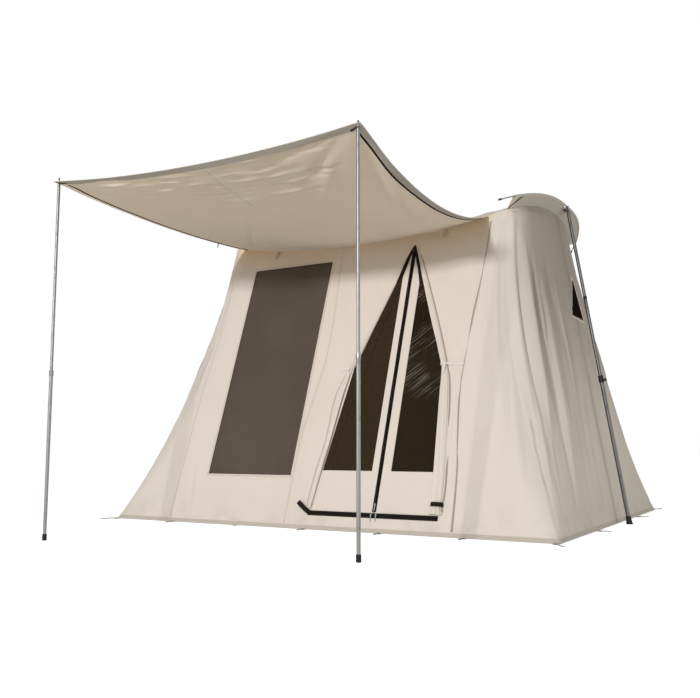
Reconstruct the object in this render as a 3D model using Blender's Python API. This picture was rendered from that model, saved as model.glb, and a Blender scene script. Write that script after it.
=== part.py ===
"""Canvas cabin tent: a leaning front wall with a window and a zipped door, two bowed roof ends,
outside end poles and an awning on two poles. Metres, +Z up, the front faces -Y."""

import math

import bmesh
import bpy
import numpy as np
from mathutils import Matrix, Vector

# Ground plan and roof
LENGTH = 3.05                 # along X, hem to hem
DEPTH = 2.60                  # along Y, hem to hem
ROOF_HALF_LENGTH = 1.06       # half the front wall's top edge
WALL_INSET = 0.687            # how far the front and rear walls lean in at the eave
EAVE_HEIGHT = 1.970           # top corner of the front wall
EAVE_SAG = 0.104              # the eave hangs this far at the middle of the front
RIDGE_MIDDLE = 2.02           # roof height at the very middle
HIP_FLARE = 0.16              # how far the hip seams are drawn in from a straight line
END_WALL_FLARE = 0.03         # the same at the middle of an end wall
END_SEAM_X = 1.225            # top of an end wall at its middle
END_SEAM_HEIGHT = 2.043

# Cloth and gaps
CANVAS = 0.0015
NETTING = 0.0008
FLOOR_CLOTH = 0.003
GAP = 0.0004                  # between pieces that touch
NEARLY = 1e-6                 # lengths closer than this are one
SEW_GAP = 0.0009              # between curved sheets that are sewn together

# Spring bars and their sleeves
BAR_RADIUS = 0.004
BAR_HEIGHT = 2.11             # bar centre at its middle
BAR_X = 1.267
BAR_PAST_CORNER = 0.197       # the bar's tip past the wall's corner, along Y
BAR_DROP = 0.133              # height lost from the middle to a tip
BAR_SWEEP = 0.197             # the tips lie this much nearer the tent's middle
BAR_BEND = 2.65               # power law of the bow: flat in the middle, steep at the tips
SLEEVE_PAST_CORNER = 0.087    # the sleeve's end past the wall's corner, along Y
SLEEVE_NOTCH = 0.045          # bare bar each side of the pole head
SLEEVE_SLACK = 0.0015
SLEEVE_STATIONS = 8           # cross sections from the pole head to the wall's corner
SLEEVE_TAIL = 0.010           # height of the cloth below the sleeve at its very end
SLEEVE_SIDES = 8
SLEEVE_WRAP_START = math.radians(20)
SLEEVE_WRAP = math.radians(290)
BAR_STEP = 0.001              # spacing of the points that give the bar's direction

# Front window and its blind
WINDOW_LEFT = -0.822
WINDOW_RIGHT = -0.176
WINDOW_BOTTOM = 0.311
WINDOW_TOP = 1.752
BLIND_MARGIN = 0.022

# Door
DOOR_X = 0.445
DOOR_SILL = 0.112
DOOR_APEX = 1.800
DOOR_HALF_WIDTH = 0.430       # at the sill
TIE_HEIGHT = 0.975            # the folded flaps are tied here
TIE_HALF_WIDTH = 0.300        # half the opening at the ties
DOOR_BORDER = 0.020           # canvas border outside the netting
DOOR_CENTRE_BORDER = 0.058    # canvas strip beside the centre zip
DOOR_KICK_HEIGHT = 0.232      # canvas below the netting
DOOR_PLAY = 0.0010            # gap along the fold line of each half
ZIP_WIDTH = 0.010
ZIP_THICKNESS = 0.0014
ZIP_END_ROOM = 0.008          # the centre zip stops this far below the halves' top corners
SILL_ZIP_HEIGHT = 0.020
SILL_ZIP_DROP = 0.004         # the zip's top edge below the opening
DOOR_ROOM = 0.0006            # netting and halves off the opening's edge

# Flaps folded back beside the door
FLAP_WIDTH = 0.052
FLAP_DEPTH = 0.020
FLAP_TOP = (0.012, 1.725)     # inner edge from the door's middle, and height
FLAP_UPPER = (0.135, 1.43)
FLAP_LOWER = (0.36, 0.62)
FLAP_FOOT = (0.418, 0.125)
FLAP_SHARES = (0.45, 0.75, 0.8, 1.0, 1.0)   # of the full section, from the top to the foot
FLAP_STATIONS = 12
FLAP_SIDES = 8

# Zip sliders
SLIDER_WIDTH = 0.008
SLIDER_LENGTH = 0.014
SLIDER_DEPTH = 0.004
PULL_LENGTH = 0.030
PULL_WIDTH = 0.005
PULL_DEPTH = 0.0016
SLIDER_SPACING = 0.016        # sill sliders from the centre zip

# End windows, as shares of the end wall's own grid
END_WINDOW_FRONT = 0.04
END_WINDOW_REAR = 0.64
END_WINDOW_BOTTOM = 0.655
END_WINDOW_TOP = 0.860

# Awning
AWNING_POLE_X = (-0.870, 0.965)
AWNING_POLE_REACH = (1.165, 1.070)   # in front of the front hem
AWNING_HEIGHT = 1.936
AWNING_REAR_X = (-0.985, 0.934)
AWNING_REAR_DROP = 0.012      # rear seam below the eave
AWNING_LIP = 0.022            # cloth outside the pole pins
AWNING_SEAM_GAP = 0.0009      # rear edge off the wall's outer face
AWNING_FRONT_SAG = 0.055
AWNING_SIDE_SAG = (0.037, 0.145)
AWNING_STATIONS = 13
AWNING_SEARCH_STEPS = 30
AWNING_SEARCH = 0.01          # half the share across which the search takes its slope

# Awning poles
AWNING_TUBE_RADIUS = 0.008
AWNING_LOWER_RADIUS = 0.0095
TUBE_WALL = 0.0009
TUBE_CLEARANCE = 0.0004
TUBE_SIDES = 24
AWNING_JOINT = 0.890          # where the upper tube leaves the lower one
AWNING_OVERLAP = 0.200
LOCK_COLLAR_WALL = 0.0016
LOCK_COLLAR_LENGTH = 0.030
LOCK_COLLAR_LIP = 0.005       # the collar's height above the lower tube's end
LOCK_COLLAR_WAVE = 0.02       # depth of its grip ribs as a share of its radius
PIN_RADIUS = 0.003
PIN_ABOVE = 0.024
PIN_SHOULDER = 0.006          # the tube ends this far below the cloth
PIN_TIP = 0.006               # length of the pin's rounded tip
TUBE_EDGE = 0.003             # length of the upper tube's rounded top edge
TUBE_END_WALL = 0.020
AWNING_FOOT_RADIUS = 0.0118
AWNING_FOOT_HEIGHT = 0.034
FOOT_EDGE = 0.002             # bevel of the foot's edges
FOOT_SOLE = 0.006

# End poles
POLE_FOOT_OUT = 0.077         # foot outside the end hem
POLE_RADIUS = 0.011
POLE_LOWER_RADIUS = 0.0127
POLE_WALL = 0.0012
POLE_NECK_RADIUS = 0.0095
POLE_NECK_LENGTH = 0.050
POLE_NECK_SLOPE = 0.004       # length of the swaged step inside the neck
POLE_SPLICE = 1.490           # along the pole, where the top tube starts
POLE_JOINT = 0.940            # along the pole, where the lower tube ends
POLE_OVERLAP = 0.240
COLLAR_RADIUS = 0.0165
COLLAR_BELOW = 0.025
COLLAR_ABOVE = 0.020
BOSS_RADIUS = 0.0060
BOSS_REACH = 0.0215
BOSS_SUNK = 0.0016            # the boss starts this deep in the collar
SCREW_RADIUS = 0.0030
SCREW_BELOW_JOINT = 0.012
KNOB_RADIUS = 0.0100
KNOB_LENGTH = 0.011
KNOB_EDGE = 0.002
KNOB_WAVE = 0.06              # depth of its finger hollows as a share of its radius
POLE_FOOT_RADIUS = 0.0205
POLE_FOOT_NECK = 0.0165
POLE_FOOT_HEIGHT = 0.050
SADDLE_HALF_WIDTH = 0.011
SADDLE_HALF_LENGTH = 0.012
SADDLE_BELOW = 0.026
SADDLE_ABOVE = 0.007
SADDLE_PLUG_LENGTH = 0.030
SADDLE_PLUG_SUNK = 0.004      # the plug runs this far into the saddle
NOTCH_REACH = 0.016           # the roof is cut back this far from the bar at a pole head

# Hem webbing, peg tabs and corner pegs
HEM_BAND_HEIGHT = 0.025
WEBBING = 0.0016
TAB_LENGTH = 0.036
TAB_WIDTH = 0.025
TAB_SPACING = 0.508           # along the front and rear hems
END_TAB_Y = 0.560             # end tabs either side of the pole foot
HEM_CORNER_ROOM = 0.006
HEM_LIFT = 0.0001             # clears the webbing's underside from the ground
PEG_RADIUS = 0.003
PEG_LENGTH = 0.105
PEG_HOOK = 0.014
PEG_START = 0.016             # the shank's tip from the hem
PEG_TURN = math.radians(32)   # corner pegs point away from the corner

# Places worked out from the sizes above
HALF_LENGTH = LENGTH / 2
HEM_HEIGHT = FLOOR_CLOTH + 2 * GAP
LEAN = WALL_INSET / EAVE_HEIGHT
LEAN_ANGLE = math.atan(LEAN)
PEG_REACH = (PEG_START + (PEG_LENGTH + PEG_HOOK / 2) * math.cos(PEG_TURN)
             + PEG_HOOK / 2 * math.sin(PEG_TURN) + PEG_RADIUS)
FRONT_SIDE = max(AWNING_POLE_REACH) + AWNING_LIP
FRONT_Y = (FRONT_SIDE - DEPTH - PEG_REACH) / 2
REAR_Y = FRONT_Y + DEPTH
MIDDLE_Y = (FRONT_Y + REAR_Y) / 2
EAVE_HALF_DEPTH = DEPTH / 2 - WALL_INSET
BAR_HALF_SPAN = EAVE_HALF_DEPTH + BAR_PAST_CORNER
SLEEVE_END = EAVE_HALF_DEPTH + SLEEVE_PAST_CORNER
WALL_OUT = Vector((0, -math.cos(LEAN_ANGLE), math.sin(LEAN_ANGLE)))


def clear_scene():
    for obj in list(bpy.data.objects):
        bpy.data.objects.remove(obj)


def material(name, colour, roughness, metallic=0.0):
    made = bpy.data.materials.new(name)
    made.use_nodes = True
    shader = made.node_tree.nodes["Principled BSDF"]
    shader.inputs["Base Color"].default_value = (*colour, 1)
    shader.inputs["Roughness"].default_value = roughness
    shader.inputs["Metallic"].default_value = metallic
    return made


def finishes():
    """Every finish the tent has."""
    return {
        "canvas": material("canvas", (0.70, 0.62, 0.52), 0.85),
        "floor": material("floor", (0.30, 0.28, 0.26), 0.7),
        "netting": material("netting", (0.03, 0.025, 0.02), 0.8),
        "blind": material("blind", (0.10, 0.08, 0.065), 0.85),
        "zip": material("zip", (0.012, 0.009, 0.008), 0.6),
        "webbing": material("webbing", (0.60, 0.54, 0.46), 0.8),
        "spring_steel": material("spring_steel", (0.12, 0.12, 0.12), 0.4, 1.0),
        "galvanised": material("galvanised", (0.45, 0.46, 0.45), 0.35, 1.0),
        "plated": material("plated", (0.62, 0.62, 0.60), 0.25, 1.0),
        "rubber": material("rubber", (0.015, 0.015, 0.015), 0.7),
        "black_plastic": material("black_plastic", (0.02, 0.02, 0.02), 0.5),
    }


def add_object(name, mesh, finish):
    obj = bpy.data.objects.new(name, mesh)
    bpy.context.scene.collection.objects.link(obj)
    obj.data.materials.append(finish)
    return obj


def mesh_from(name, points, faces, smooth=False):
    mesh = bpy.data.meshes.new(name)
    mesh.from_pydata([tuple(p) for p in points], [], faces)
    mesh.update()
    if smooth:
        mesh.shade_smooth()
    return mesh


def thicken(obj, thickness, offset=0.0):
    """Gives a surface its thickness: offset 0 splits it evenly, 1 puts it on the outer side."""
    solid = obj.modifiers.new("thickness", "SOLIDIFY")
    solid.thickness = thickness
    solid.offset = offset
    solid.use_even_offset = True


def cut(obj, cutter, name):
    boolean = obj.modifiers.new(name, "BOOLEAN")
    boolean.operation = "DIFFERENCE"
    boolean.object = cutter
    cutter.hide_render = True
    cutter.display_type = "WIRE"


def join(obj, other, name):
    boolean = obj.modifiers.new(name, "BOOLEAN")
    boolean.operation = "UNION"
    boolean.object = other
    other.hide_render = True
    other.display_type = "WIRE"


def sheet(name, points, finish, thickness, left_out=None):
    """A curved sheet through a grid of points; left_out(i, j) names the cells that are an opening."""
    rows, columns = points.shape[:2]
    faces = []
    for i in range(rows - 1):
        for j in range(columns - 1):
            if left_out and left_out(i, j):
                continue
            a = i * columns + j
            faces.append((a, a + columns, a + columns + 1, a + 1))
    mesh = mesh_from(name, points.reshape(-1, 3), faces, smooth=True)
    work = bmesh.new()
    work.from_mesh(mesh)
    loose = [v for v in work.verts if not v.link_faces]
    bmesh.ops.delete(work, geom=loose, context="VERTS")
    work.to_mesh(mesh)
    work.free()
    obj = add_object(name, mesh, finish)
    thicken(obj, thickness)
    return obj


def wall_point(x, z, out=0.0):
    """A point of the front wall's plane, moved out of it along its outward normal."""
    return Vector((x, FRONT_Y + LEAN * z, z)) + WALL_OUT * out


def wall_plate(name, outline, finish, inner, outer, holes=()):
    """A flat piece in the front wall's plane, between two distances out of it."""
    work = bmesh.new()
    edges = []
    for loop in (outline, *holes):
        corners = [work.verts.new(wall_point(x, z, inner)) for x, z in loop]
        edges += [work.edges.new((a, b)) for a, b in zip(corners, corners[1:] + corners[:1])]
    bmesh.ops.triangle_fill(work, edges=edges, use_beauty=True)
    for face in work.faces:
        face.normal_update()
        if face.normal.dot(WALL_OUT) < 0:
            face.normal_flip()
    mesh = bpy.data.meshes.new(name)
    work.to_mesh(mesh)
    work.free()
    obj = add_object(name, mesh, finish)
    thicken(obj, outer - inner, 1.0)
    return obj


def inset(outline, margins):
    """The outline with each side moved in by its own margin; its corners run anticlockwise."""
    count = len(outline)
    lines = []
    for i, margin in enumerate(margins):
        a = Vector(outline[i])
        b = Vector(outline[(i + 1) % count])
        along = (b - a).normalized()
        normal = Vector((-along.y, along.x))
        lines.append((a + normal * margin, along))
    corners = []
    for i in range(count):
        (p, d), (q, e) = lines[i - 1], lines[i]
        share = ((q - p).x * e.y - (q - p).y * e.x) / (d.x * e.y - d.y * e.x)
        corners.append(tuple(p + d * share))
    return corners


def turned(name, profile, finish, closed, steps=TUBE_SIDES, waves=0, wave=0.0):
    """A turned solid about local Z from (radius, height) points. A closed profile is a ring's
    section; an open one starts and ends on the axis. Waves scallop its outside."""
    points = []
    rings = []
    for radius, height in profile:
        if radius == 0:
            rings.append([len(points)])
            points.append((0, 0, height))
            continue
        ring = []
        for k in range(steps):
            angle = 2 * math.pi * k / steps
            r = radius * (1 + wave * math.cos(waves * angle))
            ring.append(len(points))
            points.append((r * math.cos(angle), r * math.sin(angle), height))
        rings.append(ring)
    pairs = list(zip(rings, rings[1:]))
    if closed:
        pairs.append((rings[-1], rings[0]))
    faces = []
    for low, high in pairs:
        for k in range(steps):
            n = (k + 1) % steps
            if len(low) == 1:
                faces.append((low[0], high[n], high[k]))
            elif len(high) == 1:
                faces.append((low[k], low[n], high[0]))
            else:
                faces.append((low[k], low[n], high[n], high[k]))
    mesh = mesh_from(name, points, faces)
    work = bmesh.new()
    work.from_mesh(mesh)
    bmesh.ops.recalc_face_normals(work, faces=work.faces)
    work.to_mesh(mesh)
    work.free()
    mesh.shade_smooth()
    mesh.set_sharp_from_angle(angle=math.radians(35))
    return add_object(name, mesh, finish)


def place(obj, point, axis=Vector((0, 0, 1))):
    """Puts an object's origin at a point, with its local Z along an axis."""
    turn = axis.to_track_quat("Z", "Y").to_matrix().to_4x4()
    obj.matrix_world = Matrix.Translation(point) @ turn
    return obj


def tube_profile(outer, inner, low, high):
    return [(outer, low), (outer, high), (inner, high), (inner, low)]


def swept(name, rings, finish):
    """A solid through rings of points, closed at both ends."""
    count = len(rings[0])
    points = [p for ring in rings for p in ring]
    faces = [tuple(range(count)), tuple(range(len(points) - 1, len(points) - count - 1, -1))]
    for i in range(len(rings) - 1):
        for k in range(count):
            n = (k + 1) % count
            a, b = i * count, (i + 1) * count
            faces.append((a + k, b + k, b + n, a + n))
    mesh = mesh_from(name, points, faces)
    work = bmesh.new()
    work.from_mesh(mesh)
    bmesh.ops.recalc_face_normals(work, faces=work.faces)
    work.to_mesh(mesh)
    work.free()
    mesh.shade_smooth()
    mesh.set_sharp_from_angle(angle=math.radians(40))
    return add_object(name, mesh, finish)


def rod(name, points, radius, finish, resolution=2):
    """A round rod along a list of points."""
    curve = bpy.data.curves.new(name, "CURVE")
    curve.dimensions = "3D"
    curve.bevel_depth = radius
    curve.bevel_resolution = resolution
    curve.use_fill_caps = True
    spline = curve.splines.new("POLY")
    spline.points.add(len(points) - 1)
    for slot, point in zip(spline.points, points):
        slot.co = (*point, 1)
    obj = bpy.data.objects.new(name, curve)
    bpy.context.scene.collection.objects.link(obj)
    curve.materials.append(finish)
    return obj


# Curves that several pieces share

def bar_point(s, side):
    """Centre of a spring bar, s along Y from its middle; side is 1 on the right end, -1 on the left."""
    bend = (abs(s) / BAR_HALF_SPAN) ** BAR_BEND
    return Vector((side * (BAR_X - BAR_SWEEP * bend), MIDDLE_Y + s, BAR_HEIGHT - BAR_DROP * bend))


SLEEVE_CORNER = bar_point(SLEEVE_END, 1)


def sleeve_stations(way):
    """Stations along the bar, from the pole head past the wall's corner to the sleeve's end."""
    stations = [*np.linspace(SLEEVE_NOTCH, EAVE_HALF_DEPTH, SLEEVE_STATIONS), SLEEVE_END]
    return way * np.array(stations)


def eave_height(x):
    """Height of the front and rear eaves: a sag between the wall's corners, then up to the sleeve."""
    x = abs(x)
    if x <= ROOF_HALF_LENGTH:
        return EAVE_HEIGHT - EAVE_SAG * (1 - (x / ROOF_HALF_LENGTH) ** 2)
    share = (x - ROOF_HALF_LENGTH) / (SLEEVE_CORNER.x - ROOF_HALF_LENGTH)
    return EAVE_HEIGHT + (SLEEVE_CORNER.z - EAVE_HEIGHT) * share


def flare(share, amount):
    """How far a seam is drawn in at a share of its height: none at its ends, most above half way."""
    return amount * 4 * share * (1 - share) * (0.75 + 0.5 * share)


def hip_x(z):
    share = z / EAVE_HEIGHT
    return HALF_LENGTH - (HALF_LENGTH - ROOF_HALF_LENGTH) * share - flare(share, HIP_FLARE)


def seam_point(t, side):
    """Top edge of an end wall; t runs from -1 at the front corner to 1 at the rear corner."""
    fall = 1 - abs(t) ** BAR_BEND
    x = ROOF_HALF_LENGTH + (END_SEAM_X - ROOF_HALF_LENGTH) * fall
    z = EAVE_HEIGHT + (END_SEAM_HEIGHT - EAVE_HEIGHT) * fall
    return Vector((side * x, MIDDLE_Y + t * EAVE_HALF_DEPTH, z))


def end_wall_point(t, share, side):
    """A point of an end wall at a share of its height from the hem."""
    top = seam_point(t, side)
    base = Vector((side * HALF_LENGTH, MIDDLE_Y + t * DEPTH / 2, 0))
    amount = END_WALL_FLARE + (HIP_FLARE - END_WALL_FLARE) * t * t
    point = base.lerp(top, share)
    point.x -= side * flare(share, amount)
    return point


def roof_point(u, t, margin=0.0):
    """The roof: u across the length from -1 to 1, t from the front eave to the rear eave."""
    end = bar_point(t * SLEEVE_END, 1)
    reach = end.x - margin
    front_x = abs(u) * SLEEVE_CORNER.x
    front_z = eave_height(front_x)
    half = DEPTH / 2 - LEAN * front_z
    if front_x > ROOF_HALF_LENGTH:
        share = (front_x - ROOF_HALF_LENGTH) / (SLEEVE_CORNER.x - ROOF_HALF_LENGTH)
        half = EAVE_HALF_DEPTH + (SLEEVE_END - EAVE_HALF_DEPTH) * share
    ridge = RIDGE_MIDDLE + (BAR_HEIGHT - RIDGE_MIDDLE) * u * u
    z = front_z + (ridge - front_z) * (1 - abs(t) ** BAR_BEND)
    return Vector((u * reach, MIDDLE_Y + t * half, z))


def spread(values, low, high, count):
    """Grid lines between low and high that include each of the named values."""
    stops = sorted([low, *values, high])
    out = [low]
    for a, b in zip(stops, stops[1:]):
        parts = max(1, round(count * (b - a) / (high - low)))
        out += [a + (b - a) * (k + 1) / parts for k in range(parts)]
    return out


# Pieces

def build_floor(finish):
    half = HALF_LENGTH
    corners = [(-half, FRONT_Y), (half, FRONT_Y), (half, REAR_Y), (-half, REAR_Y)]
    obj = add_object("floor", mesh_from("floor", [(x, y, 0) for x, y in corners], [(0, 1, 2, 3)]),
                     finish["floor"])
    thicken(obj, FLOOR_CLOTH, 1.0)


def wall_shares():
    """Stations up the walls as shares of their height, with the hem band's top edge and the end
    window's edges among them."""
    return spread([HEM_BAND_HEIGHT / EAVE_HEIGHT, END_WINDOW_BOTTOM, END_WINDOW_TOP],
                  HEM_HEIGHT / EAVE_HEIGHT, 1 - SEW_GAP / EAVE_HEIGHT, 11)


def end_wall_stations():
    """Stations along an end wall: those of its sleeves, and the window's edges."""
    half = [s / EAVE_HALF_DEPTH for s in sleeve_stations(1)[:-1]]
    return sorted([-t for t in half] + [0, END_WINDOW_FRONT, END_WINDOW_REAR] + half)


def roof_stations():
    """Stations across the roof as shares of its half length at the sleeves."""
    corner = ROOF_HALF_LENGTH / SLEEVE_CORNER.x
    return spread([-corner, corner], -1, 1, 16)


def wall_outline():
    """The front wall's outline, anticlockwise from the lower right corner."""
    right = [(hip_x(share * EAVE_HEIGHT), share * EAVE_HEIGHT) for share in wall_shares()]
    across = [u * SLEEVE_CORNER.x for u in roof_stations()]
    upper = [(x, eave_height(x) - SEW_GAP) for x in reversed(across)
             if abs(x) < ROOF_HALF_LENGTH - SEW_GAP]
    left = [(-x, z) for x, z in reversed(right)]
    return right + upper + left


def door_outline(room=0.0):
    """The door opening, anticlockwise from the lower left, drawn in by room."""
    whole = [(DOOR_X - DOOR_HALF_WIDTH, DOOR_SILL), (DOOR_X + DOOR_HALF_WIDTH, DOOR_SILL),
             (DOOR_X + TIE_HALF_WIDTH, TIE_HEIGHT), (DOOR_X, DOOR_APEX),
             (DOOR_X - TIE_HALF_WIDTH, TIE_HEIGHT)]
    return inset(whole, [room] * len(whole)) if room else whole


def window_outline(margin=0.0):
    left, right = WINDOW_LEFT - margin, WINDOW_RIGHT + margin
    low, high = WINDOW_BOTTOM - margin, WINDOW_TOP + margin
    return [(left, low), (right, low), (right, high), (left, high)]


def build_front_and_rear(finish):
    wall_plate("front_wall", wall_outline(), finish["canvas"], 0, CANVAS,
               [door_outline(), window_outline()])
    rear = wall_plate("rear_wall", wall_outline(), finish["canvas"], 0, CANVAS)
    flip = Matrix.Translation((0, 2 * MIDDLE_Y, 0)) @ Matrix.Rotation(math.pi, 4, "Z")
    rear.data.transform(flip)
    wall_plate("front_window_mesh", window_outline(-GAP), finish["netting"],
               CANVAS - NETTING, CANVAS)
    wall_plate("front_window_blind", window_outline(BLIND_MARGIN), finish["blind"],
               -CANVAS - GAP, -GAP)


def end_wall_grid(side, ts, shares):
    """Points of an end wall, drawn in from its hips to clear the front and rear walls."""
    grid = np.array([[end_wall_point(t, share, side) for share in shares] for t in ts])
    grid[:, :, 1] -= np.array(ts)[:, None] * SEW_GAP
    return grid if side > 0 else grid[::-1]


def window_stations(stops, low, high, room):
    """The stations between low and high, with both ends drawn in by room."""
    inner = [stop for stop in stops if low + NEARLY < stop < high - NEARLY]
    return [low + room, *inner, high - room]


def build_end_walls(finish):
    ts = end_wall_stations()
    shares = wall_shares()
    inner_ts = window_stations(ts, END_WINDOW_FRONT, END_WINDOW_REAR, GAP / EAVE_HALF_DEPTH)
    inner_shares = window_stations(shares, END_WINDOW_BOTTOM, END_WINDOW_TOP, GAP / EAVE_HEIGHT)
    for side, word in ((-1, "left"), (1, "right")):
        rows = ts if side > 0 else ts[::-1]

        def in_window(i, j, rows=rows):
            t = (rows[i] + rows[i + 1]) / 2
            share = (shares[j] + shares[j + 1]) / 2
            return (END_WINDOW_FRONT < t < END_WINDOW_REAR
                    and END_WINDOW_BOTTOM < share < END_WINDOW_TOP)

        sheet(f"{word}_end_wall", end_wall_grid(side, ts, shares), finish["canvas"], CANVAS,
              in_window)
        sheet(f"{word}_end_window_mesh", end_wall_grid(side, inner_ts, inner_shares),
              finish["netting"], NETTING)


def sleeve_radius():
    """Radius of the sleeve cloth's middle surface."""
    return BAR_RADIUS + SLEEVE_SLACK + CANVAS / 2


def build_roof(finish):
    """The roof, with a notch at each pole head."""
    along = [*reversed(sleeve_stations(-1)), 0, *sleeve_stations(1)]
    margin = sleeve_radius() + CANVAS / 2 + SEW_GAP + GAP
    grid = np.array([[roof_point(u, s / SLEEVE_END, margin) for s in along]
                     for u in roof_stations()])
    grid[:, :, 2] += GAP
    roof = sheet("roof", grid, finish["canvas"], CANVAS)
    for side, word in ((-1, "left"), (1, "right")):
        notch = box_cutter(f"{word}_notch", bar_point(0, side),
                           (NOTCH_REACH, SLEEVE_NOTCH - GAP, SADDLE_BELOW * 2))
        cut(roof, notch, f"{word} notch")


def box_cutter(name, centre, half_sizes):
    work = bmesh.new()
    bmesh.ops.create_cube(work, size=2)
    bmesh.ops.scale(work, vec=half_sizes, verts=work.verts)
    mesh = bpy.data.meshes.new(name)
    work.to_mesh(mesh)
    work.free()
    cutter = bpy.data.objects.new(name, mesh)
    bpy.context.scene.collection.objects.link(cutter)
    cutter.location = centre
    return cutter


def sleeve_strip(side, way):
    """Rows along the bar; columns go from the wall's seam up and round the bar."""
    radius = sleeve_radius()
    rows = []
    for s in sleeve_stations(way):
        centre = bar_point(s, side)
        along = (bar_point(s + BAR_STEP, side) - bar_point(s - BAR_STEP, side)).normalized()
        seam_s = max(-EAVE_HALF_DEPTH, min(EAVE_HALF_DEPTH, s))
        seam = seam_point(seam_s / EAVE_HALF_DEPTH, side) + Vector((0, 0, GAP))
        drop = seam - bar_point(seam_s, side)
        drop = (drop - along * drop.dot(along)).normalized()
        outward = Vector((side, 0, 0))
        outward = (outward - drop * outward.dot(drop) - along * outward.dot(along)).normalized()
        if abs(s) > EAVE_HALF_DEPTH + SEW_GAP:
            seam = centre + drop * (radius + SLEEVE_TAIL)
        row = [seam]
        for k in range(SLEEVE_SIDES + 1):
            angle = SLEEVE_WRAP_START + SLEEVE_WRAP * k / SLEEVE_SIDES
            row.append(centre + outward * radius * math.cos(angle)
                       - drop * radius * math.sin(angle))
        row.insert(1, seam.lerp(row[1], 0.5))
        rows.append(row)
    grid = np.array(rows)
    return grid if side == way else grid[::-1]


def build_sleeves_and_bars(finish):
    for side, word in ((-1, "left"), (1, "right")):
        for way, place_word in ((-1, "front"), (1, "rear")):
            grid = sleeve_strip(side, way)
            sheet(f"{word}_{place_word}_sleeve", grid, finish["canvas"], CANVAS)
        half = [0, *sleeve_stations(1), (SLEEVE_END + BAR_HALF_SPAN) / 2, BAR_HALF_SPAN]
        points = [bar_point(s, side) for s in [-s for s in reversed(half[1:])] + half]
        rod(f"{word}_spring_bar", points, BAR_RADIUS, finish["spring_steel"])


def awning_point(u, v):
    """The awning: u from its left to its right edge, v from its front edge to its rear seam."""
    left = Vector((AWNING_POLE_X[0] - AWNING_LIP, FRONT_Y - AWNING_POLE_REACH[0] - AWNING_LIP,
                   AWNING_HEIGHT))
    right = Vector((AWNING_POLE_X[1] + AWNING_LIP, FRONT_Y - AWNING_POLE_REACH[1] - AWNING_LIP,
                    AWNING_HEIGHT))
    front = left.lerp(right, u)
    front.z -= AWNING_FRONT_SAG * 4 * u * (1 - u)
    rear_x = AWNING_REAR_X[0] + (AWNING_REAR_X[1] - AWNING_REAR_X[0]) * u
    rear = wall_point(rear_x, eave_height(rear_x) - AWNING_REAR_DROP, CANVAS + AWNING_SEAM_GAP)
    point = front.lerp(rear, v)
    side_sag = AWNING_SIDE_SAG[0] + (AWNING_SIDE_SAG[1] - AWNING_SIDE_SAG[0]) * u
    point.z -= side_sag * 4 * v * (1 - v)
    return point


def awning_at(x, y):
    """The awning's middle surface above a place on the ground, by a short search."""
    u, v = 0.5, 0.5
    step = AWNING_SEARCH
    for _ in range(AWNING_SEARCH_STEPS):
        here = awning_point(u, v)
        across = (awning_point(min(u + step, 1), v) - awning_point(max(u - step, 0), v)).x
        along = (awning_point(u, min(v + step, 1)) - awning_point(u, max(v - step, 0))).y
        u = min(1, max(0, u + 2 * step * (x - here.x) / across))
        v = min(1, max(0, v + 2 * step * (y - here.y) / along))
    return awning_point(u, v)


def pin_places():
    return [Vector((x, FRONT_Y - reach, 0)) for x, reach in zip(AWNING_POLE_X, AWNING_POLE_REACH)]


def build_awning(finish):
    shares = np.linspace(0, 1, AWNING_STATIONS)
    grid = np.array([[awning_point(u, v) for v in shares] for u in shares])
    canopy = sheet("awning_canopy", grid, finish["canvas"], CANVAS)
    hole = PIN_RADIUS + TUBE_CLEARANCE
    for word, foot in zip(("left", "right"), pin_places()):
        cutter = turned(f"{word}_pin_hole", [(0, -PIN_ABOVE), (hole, -PIN_ABOVE),
                                             (hole, PIN_ABOVE), (0, PIN_ABOVE)],
                        finish["zip"], False)
        place(cutter, awning_at(foot.x, foot.y))
        cut(canopy, cutter, f"{word} pin hole")


def mirrored(outline, side):
    """An outline drawn for the right half as (distance from the door's middle, height)."""
    placed = [(DOOR_X + side * x, z) for x, z in outline]
    return placed if side > 0 else placed[::-1]


def door_half():
    """The right half's triangle between the centre zip, the sill and its fold line."""
    whole = [(0, DOOR_SILL), (DOOR_HALF_WIDTH, DOOR_SILL), (0, DOOR_APEX)]
    return inset(whole, [DOOR_ROOM, DOOR_PLAY / 2, ZIP_WIDTH / 2 + GAP])


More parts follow.
